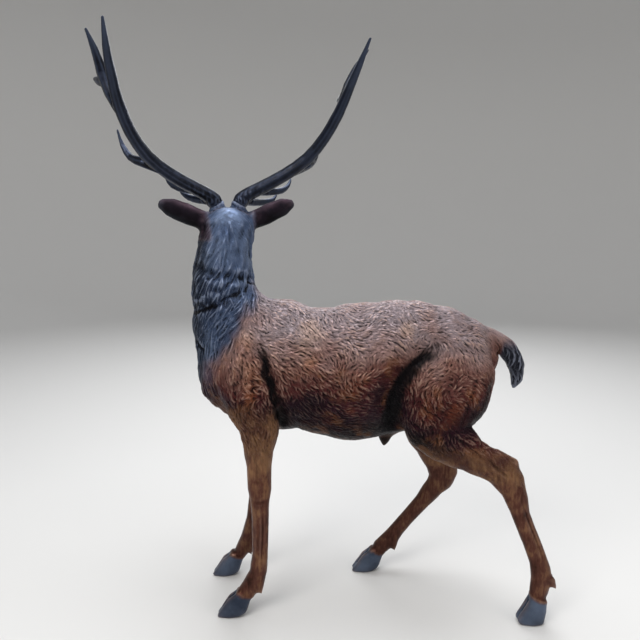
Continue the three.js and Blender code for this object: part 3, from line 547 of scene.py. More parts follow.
# folds follow these places instead of the true ones, and so don't run smooth
warped = base + 11 * wavering(40, (31, 32, 33))
warped += 5 * wavering(13, (34, 35, 36))
lift = np.zeros(len(base))
shade = np.zeros(len(base))  # black painted in the creases and below, partly the patina's own black and partly painted shade


def neck_ring(rows):
    """A path round the neck from rows of degrees from the nape (-90 on the left), z, strength."""
    rays = []
    for degrees, z, strength in rows:
        angle = math.radians(degrees)
        towards = np.array([math.cos(angle), math.sin(angle), 0])
        middle = np.array([-350, 20 + 0.1 * (z - 1300), z])
        rays.append((middle + NECK_START * towards, -towards, strength))
    return path_of(rays)


# rows for neck_ring, width in millimetres, and height of the ridge or strength of the shade
NECK_FOLDS = [
    # from the notch at the withers forward
    ([(8, 1254, 0.4), (-8, 1258, 1), (-25, 1270, 1), (-42, 1286, 0.7), (-58, 1298, 0.1)], 9, -8),
    ([(-30, 1262, 0.7), (-58, 1247, 1), (-84, 1224, 0.6), (-100, 1212, 0.1)], 7, -5),
    ([(-106, 1240, 0.4), (-92, 1254, 1), (-76, 1272, 0.8), (-64, 1284, 0.1)], 10, -4),
    ([(-102, 1294, 0.2), (-88, 1298, 1), (-74, 1306, 0.2)], 7, -4),
    ([(-124, 1306, 0.2), (-112, 1290, 1), (-104, 1282, 0.2)], 7, -5),
    ([(-76, 1330, 0.1), (-50, 1318, 1), (-20, 1300, 1), (0, 1290, 0.3)], 13, 4),
    # the ledge at the throat
    ([(-168, 1150, 0.8), (-140, 1164, 1), (-118, 1182, 1), (-102, 1202, 0.6), (-88, 1216, 0.1)],
     12, -9),
    ([(-165, 1194, 0.4), (-135, 1210, 1), (-108, 1230, 0.8), (-88, 1246, 0.1)], 14, 6),
    ([(-170, 1072, 0.6), (-150, 1054, 1), (-130, 1040, 0.4)], 12, -6),
    # the far side
    ([(20, 1275, 0.2), (60, 1262, 1), (110, 1250, 1), (150, 1240, 0.2)], 10, -6),
    ([(60, 1338, 0.2), (100, 1322, 1), (140, 1306, 0.2)], 10, -6),
]
# black painted along the neck's folds, partly the patina's own black and partly painted shade
NECK_SHADES = [
    ([(6, 1256, 1), (-10, 1260, 1), (-26, 1271, 0.8), (-42, 1286, 0.2)], 11, 0.9),
    ([(-32, 1261, 0.3), (-58, 1247, 0.6), (-84, 1224, 0.3)], 8, 0.6),
    ([(-106, 1240, 0.3), (-92, 1254, 0.8), (-76, 1272, 0.6), (-64, 1284, 0.1)], 13, 0.7),
    ([(-168, 1150, 1), (-140, 1164, 1), (-118, 1182, 0.9), (-100, 1204, 0.3)], 15, 1.0),
    ([(-170, 1072, 0.6), (-150, 1054, 0.8), (-130, 1040, 0.3)], 14, 0.8),
]

# rows of x, z and strength on both sides, width, and height or strength of the shade
MUSCLES = [
    # behind the shoulder
    ([(-201, 1040, 0.1), (-191, 971, 1), (-171, 887, 0.7), (-155, 815, 0.8), (-138, 762, 0.4)],
     15, -4),
    # the edge of the shoulder blade and the point of the shoulder
    ([(-255, 1110, 0.1), (-290, 1010, 1), (-318, 910, 1), (-300, 850, 0.3)], 16, 5),
    ([(-238, 1040, 0.1), (-236, 950, 1), (-232, 870, 1), (-215, 800, 0.2)], 12, -4),
    # in front of the thigh
    ([(272, 752, 0.6), (262, 850, 1), (288, 940, 1), (340, 1004, 0.9), (410, 1046, 0.2)], 18, -7),
    ([(302, 760, 0.4), (318, 860, 1), (350, 930, 0.8), (400, 985, 0.2)], 22, 5),
    # down the back of the thigh
    ([(560, 1010, 0.1), (548, 920, 1), (520, 830, 1), (500, 760, 0.2)], 12, -4),
    # hip bone and loin
    ([(420, 1120, 0.4), (455, 1112, 1), (492, 1102, 0.3)], 22, 5),
]
# black painted along the creases of the trunk, partly the patina's own black and partly painted
# shade
SHADES = [
    # the crease behind the shoulder
    ([(-202, 1052, 0.2), (-197, 1014, 0.8), (-191, 971, 1.1), (-183, 938, 0.7)], 24, 1.1),
    ([(-184, 945, 0.6), (-171, 887, 0.9), (-160, 830, 0.9), (-146, 780, 1), (-130, 735, 1)],
     16, 1.1),
    ([(-214, 1096, 0.2), (-190, 1082, 0.5), (-160, 1070, 0.2)], 20, 0.7),
    # the folds at the elbow
    ([(-296, 846, 0.2), (-262, 850, 0.6), (-226, 858, 0.6), (-196, 868, 0.2)], 11, 0.8),
    # the hollow between the point of the shoulder and the arm
    ([(-312, 965, 0.2), (-309, 930, 0.7), (-304, 890, 0.4)], 13, 0.8),
    # the fold in front of the thigh, the creases on it and its rear edge
    ([(250, 716, 1), (258, 800, 1.2), (272, 880, 1.2), (312, 960, 1), (372, 1016, 0.9),
      (440, 1050, 0.4)], 34, 1.2),
    ([(425, 896, 0.2), (448, 918, 0.8), (474, 934, 0.7), (500, 960, 0.2)], 13, 0.9),
    ([(410, 862, 0.2), (440, 852, 0.7), (478, 862, 0.5), (510, 880, 0.2)], 14, 0.8),
    ([(590, 1000, 0.2), (606, 920, 0.8), (588, 830, 0.8), (548, 760, 0.3)], 34, 0.8),
]

# the side, rows of x, z and strength, width and height
TENDONS = [
    # forearms, knees and cannons of the forelegs
    (LEFT, [(-236, 655, 0.2), (-232, 590, 1), (-228, 548, 0.4)], 8, -3),
    (LEFT, [(-214, 452, 0.3), (-213, 380, 1), (-216, 290, 1), (-224, 205, 0.3)], 5, -4),
    (LEFT, [(-238, 452, 0.3), (-238, 380, 1), (-241, 280, 0.8), (-248, 215, 0.2)], 5, 1.5),
    (LEFT, [(-258, 478, 0.5), (-226, 470, 1), (-200, 474, 0.4)], 7, -2),
    (LEFT, [(-262, 546, 0.4), (-226, 552, 1), (-198, 545, 0.4)], 8, -1.8),
    (RIGHT, [(-247, 430, 0.3), (-254, 350, 1), (-267, 265, 1), (-281, 205, 0.3)], 5, -4),
    (RIGHT, [(-286, 462, 0.5), (-254, 452, 1), (-226, 458, 0.4)], 7, -2),
    # gaskins, hocks and cannons of the hind legs
    (LEFT, [(600, 660, 0.2), (640, 618, 1), (676, 592, 0.6)], 8, -5),
    (LEFT, [(470, 742, 0.1), (545, 690, 1), (612, 640, 0.4)], 12, -3),
    (LEFT, [(733, 500, 0.3), (760, 425, 1), (797, 337, 1), (826, 262, 0.3)], 5, -4),
    (LEFT, [(700, 560, 0.4), (728, 540, 1), (742, 505, 0.3)], 7, -2),
    (RIGHT, [(478, 560, 0.2), (512, 500, 1), (520, 450, 0.5)], 8, -5),
    (RIGHT, [(488, 400, 0.3), (440, 330, 1), (384, 258, 1), (344, 206, 0.3)], 5, -4),
]


def shape_hooves():
    """A raised coronet, a cleft between the toes and a slightly hollow front wall on each hoof."""
    lift[:] += CORONET * np.exp(-(((HOOF_DEPTH + 4) / 6) ** 2))
    lift[:] -= WALL_HOLLOW * rise(HOOF_DEPTH, 2, 12)
    for x, y, height in HOOVES:
        path = []
        for ahead in CLEFT_STEPS:
            hit = cast((x + ahead, y, 400 if ahead > -30 else 200), -UP)
            if hit is not None and hit[2] < height + 12:
                path.append([*hit, 1.0])
        stroke(base, lift, path, CLEFT_WIDTH, -CLEFT_DEPTH)


CORONET, WALL_HOLLOW = 1.8, 1.0
CLEFT_STEPS = (-150, -110, -80, -60, -40, -20, 0, 16)  # from the toe back
CLEFT_WIDTH, CLEFT_DEPTH = 5, 8


# ---------------- the face

EYE_OUT, EYE_FORWARD, EYE_UP = 65, 106, -102
EYE_RADIUS = 20.5
LID_THICKNESS = 3.4
EYE_SLANT = 0.42
EYE_REACH = 46  # how far from its middle the eye changes the skin


def shape_eye(mm, side):
    """A round eyeball between two lids."""
    centre = from_head(side * EYE_OUT, EYE_FORWARD, EYE_UP)
    offset = mm - centre
    radius = np.linalg.norm(offset, axis=1)
    direction = offset / np.maximum(radius, 1e-6)[:, None]
    gaze = unit(side * 0.93 * HEAD_SIDE + 0.34 * HEAD_FORWARD + 0.12 * UP)
    slant = HEAD_FORWARD - EYE_SLANT * UP
    slant = unit(slant - dot(slant, gaze) * gaze)
    above = np.cross(gaze, slant) * -side
    along, over = direction @ slant, direction @ above
    # the lids part along an almond; opening is below zero inside it
    opening = np.abs(over - 0.05) - 0.46 * (1 - (along / 0.86) ** 2)
    near = (direction @ gaze > 0.15) & (radius < EYE_REACH)
    lids = EYE_RADIUS + LID_THICKNESS * rise(opening, -0.03, 0.07)
    weight = rise(opening, 0.75, 0.28) * near
    target = lids * weight + radius * (1 - weight)
    mm[:] += (direction * (target - radius)[:, None]) * near[:, None]


def shape_face():
    """Nostrils, mouth and the bony lines of the head."""
    for side in (LEFT, RIGHT):
        press(FACE_LINES, base, lift, lambda rows: along_face(side, rows))
        inward = unit(-HEAD_FORWARD - NOSTRIL_TURN * side * HEAD_SIDE)
        for rows, width, height in NOSTRIL:
            rows = [(side * out, forward, up, strength) for out, forward, up, strength in rows]
            stroke(base, lift, along_front(rows, inward), width, height)
    press(MOUTH, base, lift, lambda rows: along_front(rows, -HEAD_FORWARD))
    press(FOREHEAD, base, lift, lambda rows: along_front(rows, -UP))


# rows of forward, up and strength on both sides of the head, width and height
FACE_LINES = [
    # mouth, lower lip
    ([(352, -238, 1), (322, -236, 1), (292, -228, 1), (262, -216, 0.6)], 4.2, -4.5),
    ([(345, -250, 0.5), (318, -249, 1), (286, -240, 0.4)], 7, 2),
    # the slit in front of the eye, and the bone over it
    ([(134, -112, 0.8), (150, -124, 1), (168, -138, 0.5)], 5, -5.5),
    ([(66, -66, 0.3), (98, -70, 1), (124, -82, 0.6)], 8, 3.5),
    # cheekbone and the edge of the jaw muscle
    ([(70, -128, 0.3), (120, -142, 1), (190, -168, 0.9), (240, -182, 0.2)], 9, 3.5),
    ([(140, -175, 0.3), (120, -200, 1), (90, -215, 0.6), (60, -212, 0.2)], 10, -4),
    # along the nose
    ([(170, -112, 0.2), (230, -140, 1), (300, -168, 0.8)], 10, -3),
]
# rows of out, forward, up and strength, width and height: the hole of the nostril and its rim
NOSTRIL = [
    ([(22, 372, -206, 0.6), (29, 366, -198, 1.0), (33, 352, -188, 0.8)], 6.5, -9),
    ([(16, 372, -194, 0.6), (26, 364, -182, 1.0), (38, 344, -180, 0.7)], 5, 2.5),
]
NOSTRIL_TURN = 0.55
# the mouth from the front and the groove above it, then the hollow of the forehead
MOUTH = [
    ([(-30, 330, -238, 1), (-15, 330, -240, 1), (0, 330, -240, 1), (15, 330, -240, 1),
      (30, 330, -238, 1)], 4.2, -4.5),
    ([(0, 330, -200, 0.6), (0, 330, -218, 1), (0, 330, -236, 1)], 4, -3),
]
FOREHEAD = [([(0, 40, 0, 0.4), (0, 90, 0, 1), (0, 150, 0, 0.4)], 16, -4)]


def shape_ears():
    """Long hairs lie along the hollow of each ear, inside a thin rim."""
    for side in (LEFT, RIGHT):
        for drop, height in EAR_HAIRS:
            rows = []
            for t in (0.16, 0.34, 0.52, 0.7, 0.86):  # from the root of the ear to its tip
                up = -78 + 84 * t + drop * (1 - 0.5 * t)
                strength = math.sin(math.pi * min(1, t * 1.1))
                rows.append((side * (62 + 190 * t), 60, up, strength))
            stroke(base, lift, along_front(rows, -HEAD_FORWARD), 4.2, height)


# place across the ear, and height
EAR_HAIRS = [(-17, 2.2), (-7, -2.0), (2, 2.4), (11, -2.0), (19, 2.0)]


# ---------------- rubbed and dark places in the patina, and painted shade in the creases

# x, z, reach and strength on both flanks: copper shows through where strength is above zero, and
# the patina is plum black where it is below
PATCHES = [
    (-28, 1098, 62, 0.9), (63, 1162, 50, -0.25), (311, 1120, 30, 0.9), (-32, 1001, 30, 0.7),
    (142, 942, 52, 0.6), (-32, 865, 36, -0.9), (206, 913, 52, -0.7), (25, 790, 44, 0.5),
    (107, 831, 26, 0.7), (104, 775, 38, -0.8), (-90, 800, 52, -0.9), (251, 816, 34, -0.4),
    (-256, 1077, 36, 0.7), (-320, 1051, 46, 0.5), (-248, 986, 44, 0.6), (-312, 971, 18, -0.6),
    (-260, 909, 36, 0.8), (-244, 800, 50, 0.6), (467, 1000, 50, 0.35), (487, 822, 46, 0.9),
    (395, 785, 60, 0.5), (560, 900, 44, 0.4), (440, 1075, 60, -0.35), (-130, 1090, 50, -0.3),
    (-110, 985, 60, 0.35), (60, 1010, 60, -0.25), (230, 1010, 60, 0.25), (380, 900, 40, 0.4),
]


def patches_of(mm):
    total = np.zeros(len(mm))
    for x, z, reach, strength in PATCHES:
        total += strength * np.exp(-(((mm[:, 0] - x) ** 2 + (mm[:, 2] - z) ** 2) / reach**2))
    return total * rise(np.abs(mm[:, 1]), 40, 110)


copper = patches_of(warped + 14 * wavering(60, (41, 42, 43)))

press(NECK_FOLDS, warped, lift, neck_ring)
press(NECK_SHADES, warped, shade, neck_ring)
for side in (LEFT, RIGHT):
    press(MUSCLES, base, lift, lambda rows: along_side(side, rows))
    press(SHADES, warped, shade, lambda rows: along_side(side, rows))
for side, rows, width, height in TENDONS:
    stroke(base, lift, along_side(side, rows), width, height)
shape_hooves()
shape_face()
shape_ears()
muscled = rise(Z, 560, 700) * (1 - FACE) * (1 - TAIL)
hand_worked = 0.5 * noise(base, 24, 9) * (1 - HOOF)
lift += muscled * (2.6 * noise(base, 74, 7) + 1.5 * noise(base, 36, 8)) + hand_worked
shaped = base + lift[:, None] * base_normals
for side in (LEFT, RIGHT):
    shape_eye(shaped, side)


# ---------------- locks of hair

# locks are measured in their own length and width, unless it says otherwise
LOCK_SWAY = 0.15  # how far locks stray from the lie of the coat, in radians
LOCK_WAVE = 0.6
LOCK_REACH = 0.62  # from a lock's middle to its corners
LOCK_ROOT, LOCK_SPREAD, LOCK_GIRTH = 0.45, 2.2, 1.25  # width at the root, widening, full width
LOCK_START, LOCK_CREST = 0.12, 0.8  # height at the root, and where along it the full height is met
FACING = 0.3  # a lock lies only on skin that faces nearly its own way


class Coat:
    """How far locks raise each vertex, and each vertex's place in the lock on top of it."""

    def __init__(self, count):
        self.height = np.zeros(count)
        self.strand = np.zeros((count, 3))  # along the lock, across it, and a number of its own
        self.core = np.zeros(count)  # 0 between locks to 1 along a lock's ridge

    def lay(self, chosen, length, width, height, curl):
        """Lays a lock on each chosen vertex, thickest near its point, overlapping like shingles."""
        count = len(chosen)
        length = length[chosen] * rng.uniform(0.8, 1.25, count)
        width = width[chosen] * rng.uniform(0.8, 1.2, count)
        height = height[chosen] * rng.uniform(0.7, 1.2, count)
        bend = curl * rng.uniform(-1, 1, count)
        wave = curl * rng.uniform(-LOCK_WAVE, LOCK_WAVE, count)
        seeds = shaped[chosen]
        outward = base_normals[chosen]
        along = turned(flow[chosen], outward, rng.normal(0, LOCK_SWAY, count))
        across = np.cross(outward, along)

        vertex, lock = neighbours(shaped, seeds, float(length.max()) * LOCK_REACH)
        offset = shaped[vertex] - seeds[lock]
        t = dot(offset, along[lock]) / length[lock] + 0.5  # 0 at the root, 1 at the point
        on_it = (t > 0) & (t < 1) & (dot(base_normals[vertex], outward[lock]) > FACING)
        vertex, lock, offset, t = (a[on_it] for a in (vertex, lock, offset, t))
        drift = bend[lock] * np.sin(math.pi * t) + wave[lock] * np.sin(2 * math.pi * t)
        aside = dot(offset, across[lock]) / width[lock] - drift
        widened = np.sin(np.minimum(1, LOCK_SPREAD * t) * math.pi / 2)
        half = np.sqrt(1 - t) * (LOCK_ROOT + (1 - LOCK_ROOT) * widened) * LOCK_GIRTH
        bulge = 1 - (aside / half) ** 2
        vertex, lock, t, aside, bulge = (a[bulge > 0] for a in (vertex, lock, t, aside, bulge))
        climb = LOCK_START + (1 - LOCK_START) * rise(t, 0, LOCK_CREST)
        raised = height[lock] * climb * np.sqrt(bulge)

        order = np.lexsort((raised, vertex))  # for each vertex the highest lock comes last
        last = np.append(vertex[order][1:] != vertex[order][:-1], True)
        top = order[last]
        top = top[raised[top] > self.height[vertex[top]]]
        vertex, lock = vertex[top], lock[top]
        self.height[vertex] = raised[top]
        self.strand[vertex, 0] = (t[top] - 0.5) * length[lock]
        self.strand[vertex, 1] = aside[top] * width[lock]
        self.strand[vertex, 2] = rng.random(count)[lock]
        self.core[vertex] = np.sqrt(bulge[top])


plainer = rise(Y, 40, 90) * (1 - NECK) * (1 - FACE)  # the far flank is finished more simply
size = 1 + 0.15 * plainer
# the mane is calmer down the parting below the crown
parting = np.exp(-((FROM_PARTING / 0.75) ** 2)) * rise(Z, 1310, 1390)
mane = NECK * rise(Z, 1510, 1470)
long_hair = mane * (1 - 0.62 * parting)
# the trunk and the tops of the legs
furry = rise(Z, 600, 700) * (1 - FACE) * (1 - HOOF)
furry = np.maximum(furry, LEG * rise(Z, 520, 640) * rise(X, 250, 350))
body_fur = furry * (1 - NECK) * (1 - TAIL)
calmer_leg = 1 - 0.75 * rise(Z, 730, 650)
uneven = 0.75 + 0.35 * noise(base, 90, 15)
fur_height = 5.4 * body_fur * calmer_leg * (1 - 0.3 * plainer) * uneven
crown = FACE * rise(FORWARD, 70, 20) * rise(UPWARD, -130, -90) * (1 - EAR)

# where the locks grow, how far apart, their length, width and height, and how much they curl
LAYERS = [
    (mane, 14, 60, 5, 2.8 * long_hair, 0.8),
    (mane * (1 - 0.6 * parting), 20, 120, 6, 4.4 * long_hair, 0.7),
    (body_fur, 11.5 * size, 46 * size, 6 * size, fur_height, 0.85),
    (TAIL, 15, 84, 9, 4.6 * TAIL, 0.8),
    (crown, 13, 34, 6.5, 2.2 * crown, 0.8),
]
coat = Coat(len(base))
every = np.ones(len(base))
for where, spacing, length, width, height, curl in LAYERS:
    chosen = scattered(base, where, spacing * every)
    coat.lay(chosen, length * every, width * every, height, curl)

SETTLE = 0.42  # the skin sinks by this share of the locks' height, so that the girth is kept
hair_height = np.maximum.reduce([4.2 * long_hair, fur_height, 4.4 * TAIL, 2.0 * crown])
soft_normals = unit(blurred(base_normals, skin_edges, 6))
sculpted = shaped + (coat.height - SETTLE * hair_height)[:, None] * soft_normals
sculpted[:, 2] = np.maximum(sculpted[:, 2], 0)
move_points(skin.data, keep_in_box(ORIGIN + sculpted * MM))


# ---------------- what the patina reads

def cavity_of(co, edges, normals, reach, spacing):
    """How far the skin lies under its own average: above zero in hollows and below it on ridges."""
    return dot(blurred(co, edges, passes_for(reach, spacing)) - co, normals)


WIDE = 45  # reach of the wide averages
hollow = cavity_of(sculpted, skin_edges, normals_of(skin.data), 9, SKIN_VOXEL / MM)
wide_normals = unit(spread(base_normals, base, WIDE))
wide_hollow = dot(spread(sculpted, base, WIDE) - sculpted, wide_normals)

# the neck's slate gives way to brown along a slanting line from the withers to the chest
EDGE_Z = [880, 961, 1015, 1069, 1166, 1240, 1290]
EDGE_X = [-400, -400, -371, -326, -285, -208, -190]
ragged = 40 * noise(base, 80, 11) + 22 * noise(base, 30, 12)
slate = rise(X - np.interp(Z, EDGE_Z, EDGE_X) + ragged, 55, -45) * rise(Z, 820, 930)
slate = np.maximum(slate * (1 - FACE), (0.95 - 0.3 * rise(FORWARD, 60, 200)) * FACE)
dark_tail = TAIL * rise(Z, 1070, 1010) * rise(X, 676, 692)
slate = np.maximum(slate * (1 - TAIL), 0.9 * dark_tail)
# painted shade darkens the far legs, which stand in the body's shadow, and the sheath is black
shade += 0.42 * rise(Z, 720, 600) * rise(Y, 20, 60) * (1 - HOOF)
shade += 0.8 * rise(np.abs(X - 264), 60, 40) * rise(np.abs(Y), 70, 50) * rise(Z, 690, 660)
# painted shade: the throat and the front of the chest are painted near black, where the shadow
# falls
throat = rise(np.degrees(np.abs(AROUND)), 104, 138) * rise(Z, 1490, 1440)
thinned_with(skin, SKIN_TRIANGLES, {
    "hollow": hollow,
    "wide_hollow": wide_hollow,
    "slate": slate,
    # the tone goes from 0 under the belly to 1 along the back: partly the patina's own change with
    # height, partly painted light, lighter on faces turned up and painted shade underneath
    "tone_and_light": 0.62 * rise(Z, 690, 1190) + 0.38 * rise(wide_normals[:, 2], -0.75, 0.9),
    "shade": shade,
    "parting": parting,
    # the throat's painted shade, on the front of the chest
    "chest": throat * rise(X, -330, -380),
    "copper": copper,
    "upward": base_normals[:, 2],
    "hoof": HOOF,
    "leg": np.maximum(rise(Z, 720, 600), rise(X, -130, -170) * rise(Z, 880, 740)),
    "upper_leg": rise(Z, 430, 620),
    "ear": EAR,
    "face": FACE,
    "tail": dark_tail,
    "core": coat.core,
    "strand": coat.strand,
})


# ---------------- the antlers

BURR_RADIUS = 34
BURR_HEIGHT = 9
BURR_PEARLS = 17


def antler(side_name, side, foot):
    """One antler over its solid: a smooth beam with faint lumps and a pearled ring at its foot."""
    piece = fine_copy("antler_" + side_name, "antler_skin_" + side_name, ANTLER_VOXEL, ANTLER_FACET)
    mm = to_mm(points_of(piece.data))
    edges = edges_of(piece.data)
    normals = unit(blurred(normals_of(piece.data), edges, passes_for(5 * MM, ANTLER_VOXEL)))
    offset = mm - (to_mm(foot) + side * BURR_RADIUS * HEAD_SIDE)
    aside, ahead, height = offset @ HEAD_SIDE, offset @ HEAD_FORWARD, offset @ UP
    ring = np.hypot(aside, ahead)
    band = np.exp(-((height / BURR_HEIGHT) ** 2)) * rise(ring, BURR_RADIUS + 26, BURR_RADIUS + 14)
    pearls = 0.5 + 0.5 * np.cos(np.arctan2(ahead, aside) * BURR_PEARLS + 2 * noise(mm, 30, 21))
    rough_foot = rise(height, 110, 20) * rise(ring, 130, 90)
    relief = band * (1.6 * pearls - 0.4)
    relief += rough_foot * 0.8 * noise(mm * [1, 1, 0.35], 9, 22)
    relief += 0.7 * noise(mm, 38, 23)
    low, high = (to_mm(corner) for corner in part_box("antler_" + side_name))
    shaped = mm + relief[:, None] * normals
    move_points(piece.data, ORIGIN + np.clip(shaped, low, high) * MM)
    hollow = cavity_of(shaped, edges, normals_of(piece.data), 7, ANTLER_VOXEL / MM)
    thinned_with(piece, ANTLER_TRIANGLES, {"hollow": hollow})
    return piece


antlers = {
    "left": antler("left", LEFT, FOOT_LEFT),
    "right": antler("right", RIGHT, FOOT_RIGHT),
}


# ---------------- patina

def linear(hex_colour):
    """A screen colour such as 8a6f66 as the linear colour that a shader takes."""
    parts = [int(hex_colour[k : k + 2], 16) / 255 for k in (0, 2, 4)]
    return [p / 12.92 if p <= 0.04045 else ((p + 0.055) / 1.055) ** 2.4 for p in parts] + [1]


MIX_A, MIX_B, MIX_RESULT = 6, 7, 2  # a mix node's colour sockets, which share names with others


class Patina:
    """A material put together from short named steps."""

    def __init__(self, name):
        self.material = bpy.data.materials.new(name)
        self.material.use_nodes = True
        self.nodes = self.material.node_tree.nodes
        self.links = self.material.node_tree.links
        self.shader = self.nodes["Principled BSDF"]

    def feed(self, socket, value):
        """Sets a socket to a number or screen colour, or links another socket to it."""
        if isinstance(value, bpy.types.NodeSocket):
            self.links.new(value, socket)
        else:
            socket.default_value = linear(value) if isinstance(value, str) else value

    def node(self, kind, inputs, **settings):
        """A new node with its settings, and its sockets fed by name or number."""
        node = self.nodes.new(kind)
        for name, value in settings.items():
            setattr(node, name, value)
        for socket, value in inputs.items():
            self.feed(node.inputs[socket], value)
        return node

    def reading(self, name, vector=False):
        node = self.node("ShaderNodeAttribute", {}, attribute_name=name)
        return node.outputs["Vector" if vector else "Fac"]

    def math(self, operation, *values):
        node = self.node("ShaderNodeMath", dict(enumerate(values)), operation=operation)
        return node.outputs[0]

    def plus(self, a, b):
        return self.math("ADD", a, b)

    def minus(self, a, b):
        return self.math("SUBTRACT", a, b)

    def times(self, a, b):
        return self.math("MULTIPLY", a, b)

    def ramp(self, value, low, high, to_low=0.0, to_high=1.0):
        """A smooth slope between two values; with low above high it falls instead."""
        names = ("Value", "From Min", "From Max", "To Min", "To Max")
        inputs = dict(zip(names, (value, low, high, to_low, to_high)))
        node = self.node("ShaderNodeMapRange", inputs, interpolation_type="SMOOTHSTEP")
        return node.outputs["Result"]

    def mix(self, share, a, b):
        """Colour a with a share of b."""
        inputs = {"Factor": share, MIX_A: a, MIX_B: b}
        return self.node("ShaderNodeMix", inputs, data_type="RGBA").outputs[MIX_RESULT]

    def ladder(self, value, steps):
        """Colours along a value."""
        node = self.node("ShaderNodeValToRGB", {"Fac": value})
        elements = node.color_ramp.elements
        while len(elements) < len(steps):
            elements.new(0.5)
        for element, (position, _) in zip(elements, steps):
            element.position = position
        for element, (_, colour) in zip(elements, steps):
            element.color = linear(colour)
        return node.outputs["Color"]

    def place(self):
        return self.node("ShaderNodeTexCoord", {}).outputs["Object"]

    def noise(self, scale, detail, roughness=0.55, vector=None):
        inputs = {"Scale": scale, "Detail": detail, "Roughness": roughness}
        inputs["Vector"] = self.place() if vector is None else vector
        return self.node("ShaderNodeTexNoise", inputs).outputs["Fac"]

    def scaled(self, vector, x, y, z):
        inputs = {0: vector, 1: (x, y, z)}
        return self.node("ShaderNodeVectorMath", inputs, operation="MULTIPLY").outputs[0]

    def bump(self, height, distance, strength=1.0, under=None):
        inputs = {"Height": height, "Distance": distance, "Strength": strength}
        if under is not None:
            inputs["Normal"] = under
        return self.node("ShaderNodeBump", inputs).outputs["Normal"]

    def surface(self, inputs):
        for name, value in inputs.items():
            self.feed(self.shader.inputs[name], value)
        return self.material

    def bronze(self, colour, rough, normal, metal, coat, coat_rough):
        return self.surface({
            "Base Color": colour, "Roughness": rough, "Normal": normal, "Metallic": metal,
            "Coat Weight": coat, "Coat Roughness": coat_rough, "Specular IOR Level": 0.25,
        })


BROWNS = [(0.0, "07030a"), (0.22, "2c0a1c"), (0.42, "562626"), (0.6, "7e564e"), (0.8, "987c78"),
          (1.0, "9c8e92")]
COPPERS = [(0.1, "4a1c12"), (0.4, "8a4a30"), (0.65, "b07e62"), (0.9, "b89c8e")]
LEG_BROWNS = [(0.3, "2a140e"), (0.5, "56342a"), (0.7, "866246")]
SLATES = [(0.3, "303c56"), (0.5, "4c5c7a"), (0.7, "687894")]
EAR_SHADED_TO_LIT = [(0.25, "050407"), (0.5, "1e1720"), (0.85, "54404a")]
HOOF_BLUES = [(0.3, "333b4b"), (0.7, "606c80")]
GOLD, PLUM, FACE_BROWN = "8a5a38", "1c0c1c", "40343a"
CHEST_SHADE_BLACK, TAIL_BLACK, SHADE_BLACK = "0c0f18", "1c1e28", "070509"
DEEP_BROWN, DEEP_BLUE = "0c0508", "0a0d18"
RUBBED_AND_HIGHLIGHT_BROWN, RUBBED_AND_HIGHLIGHT_BLUE, DUST = "d0ac98", "a4b0c8", "d8d4cc"


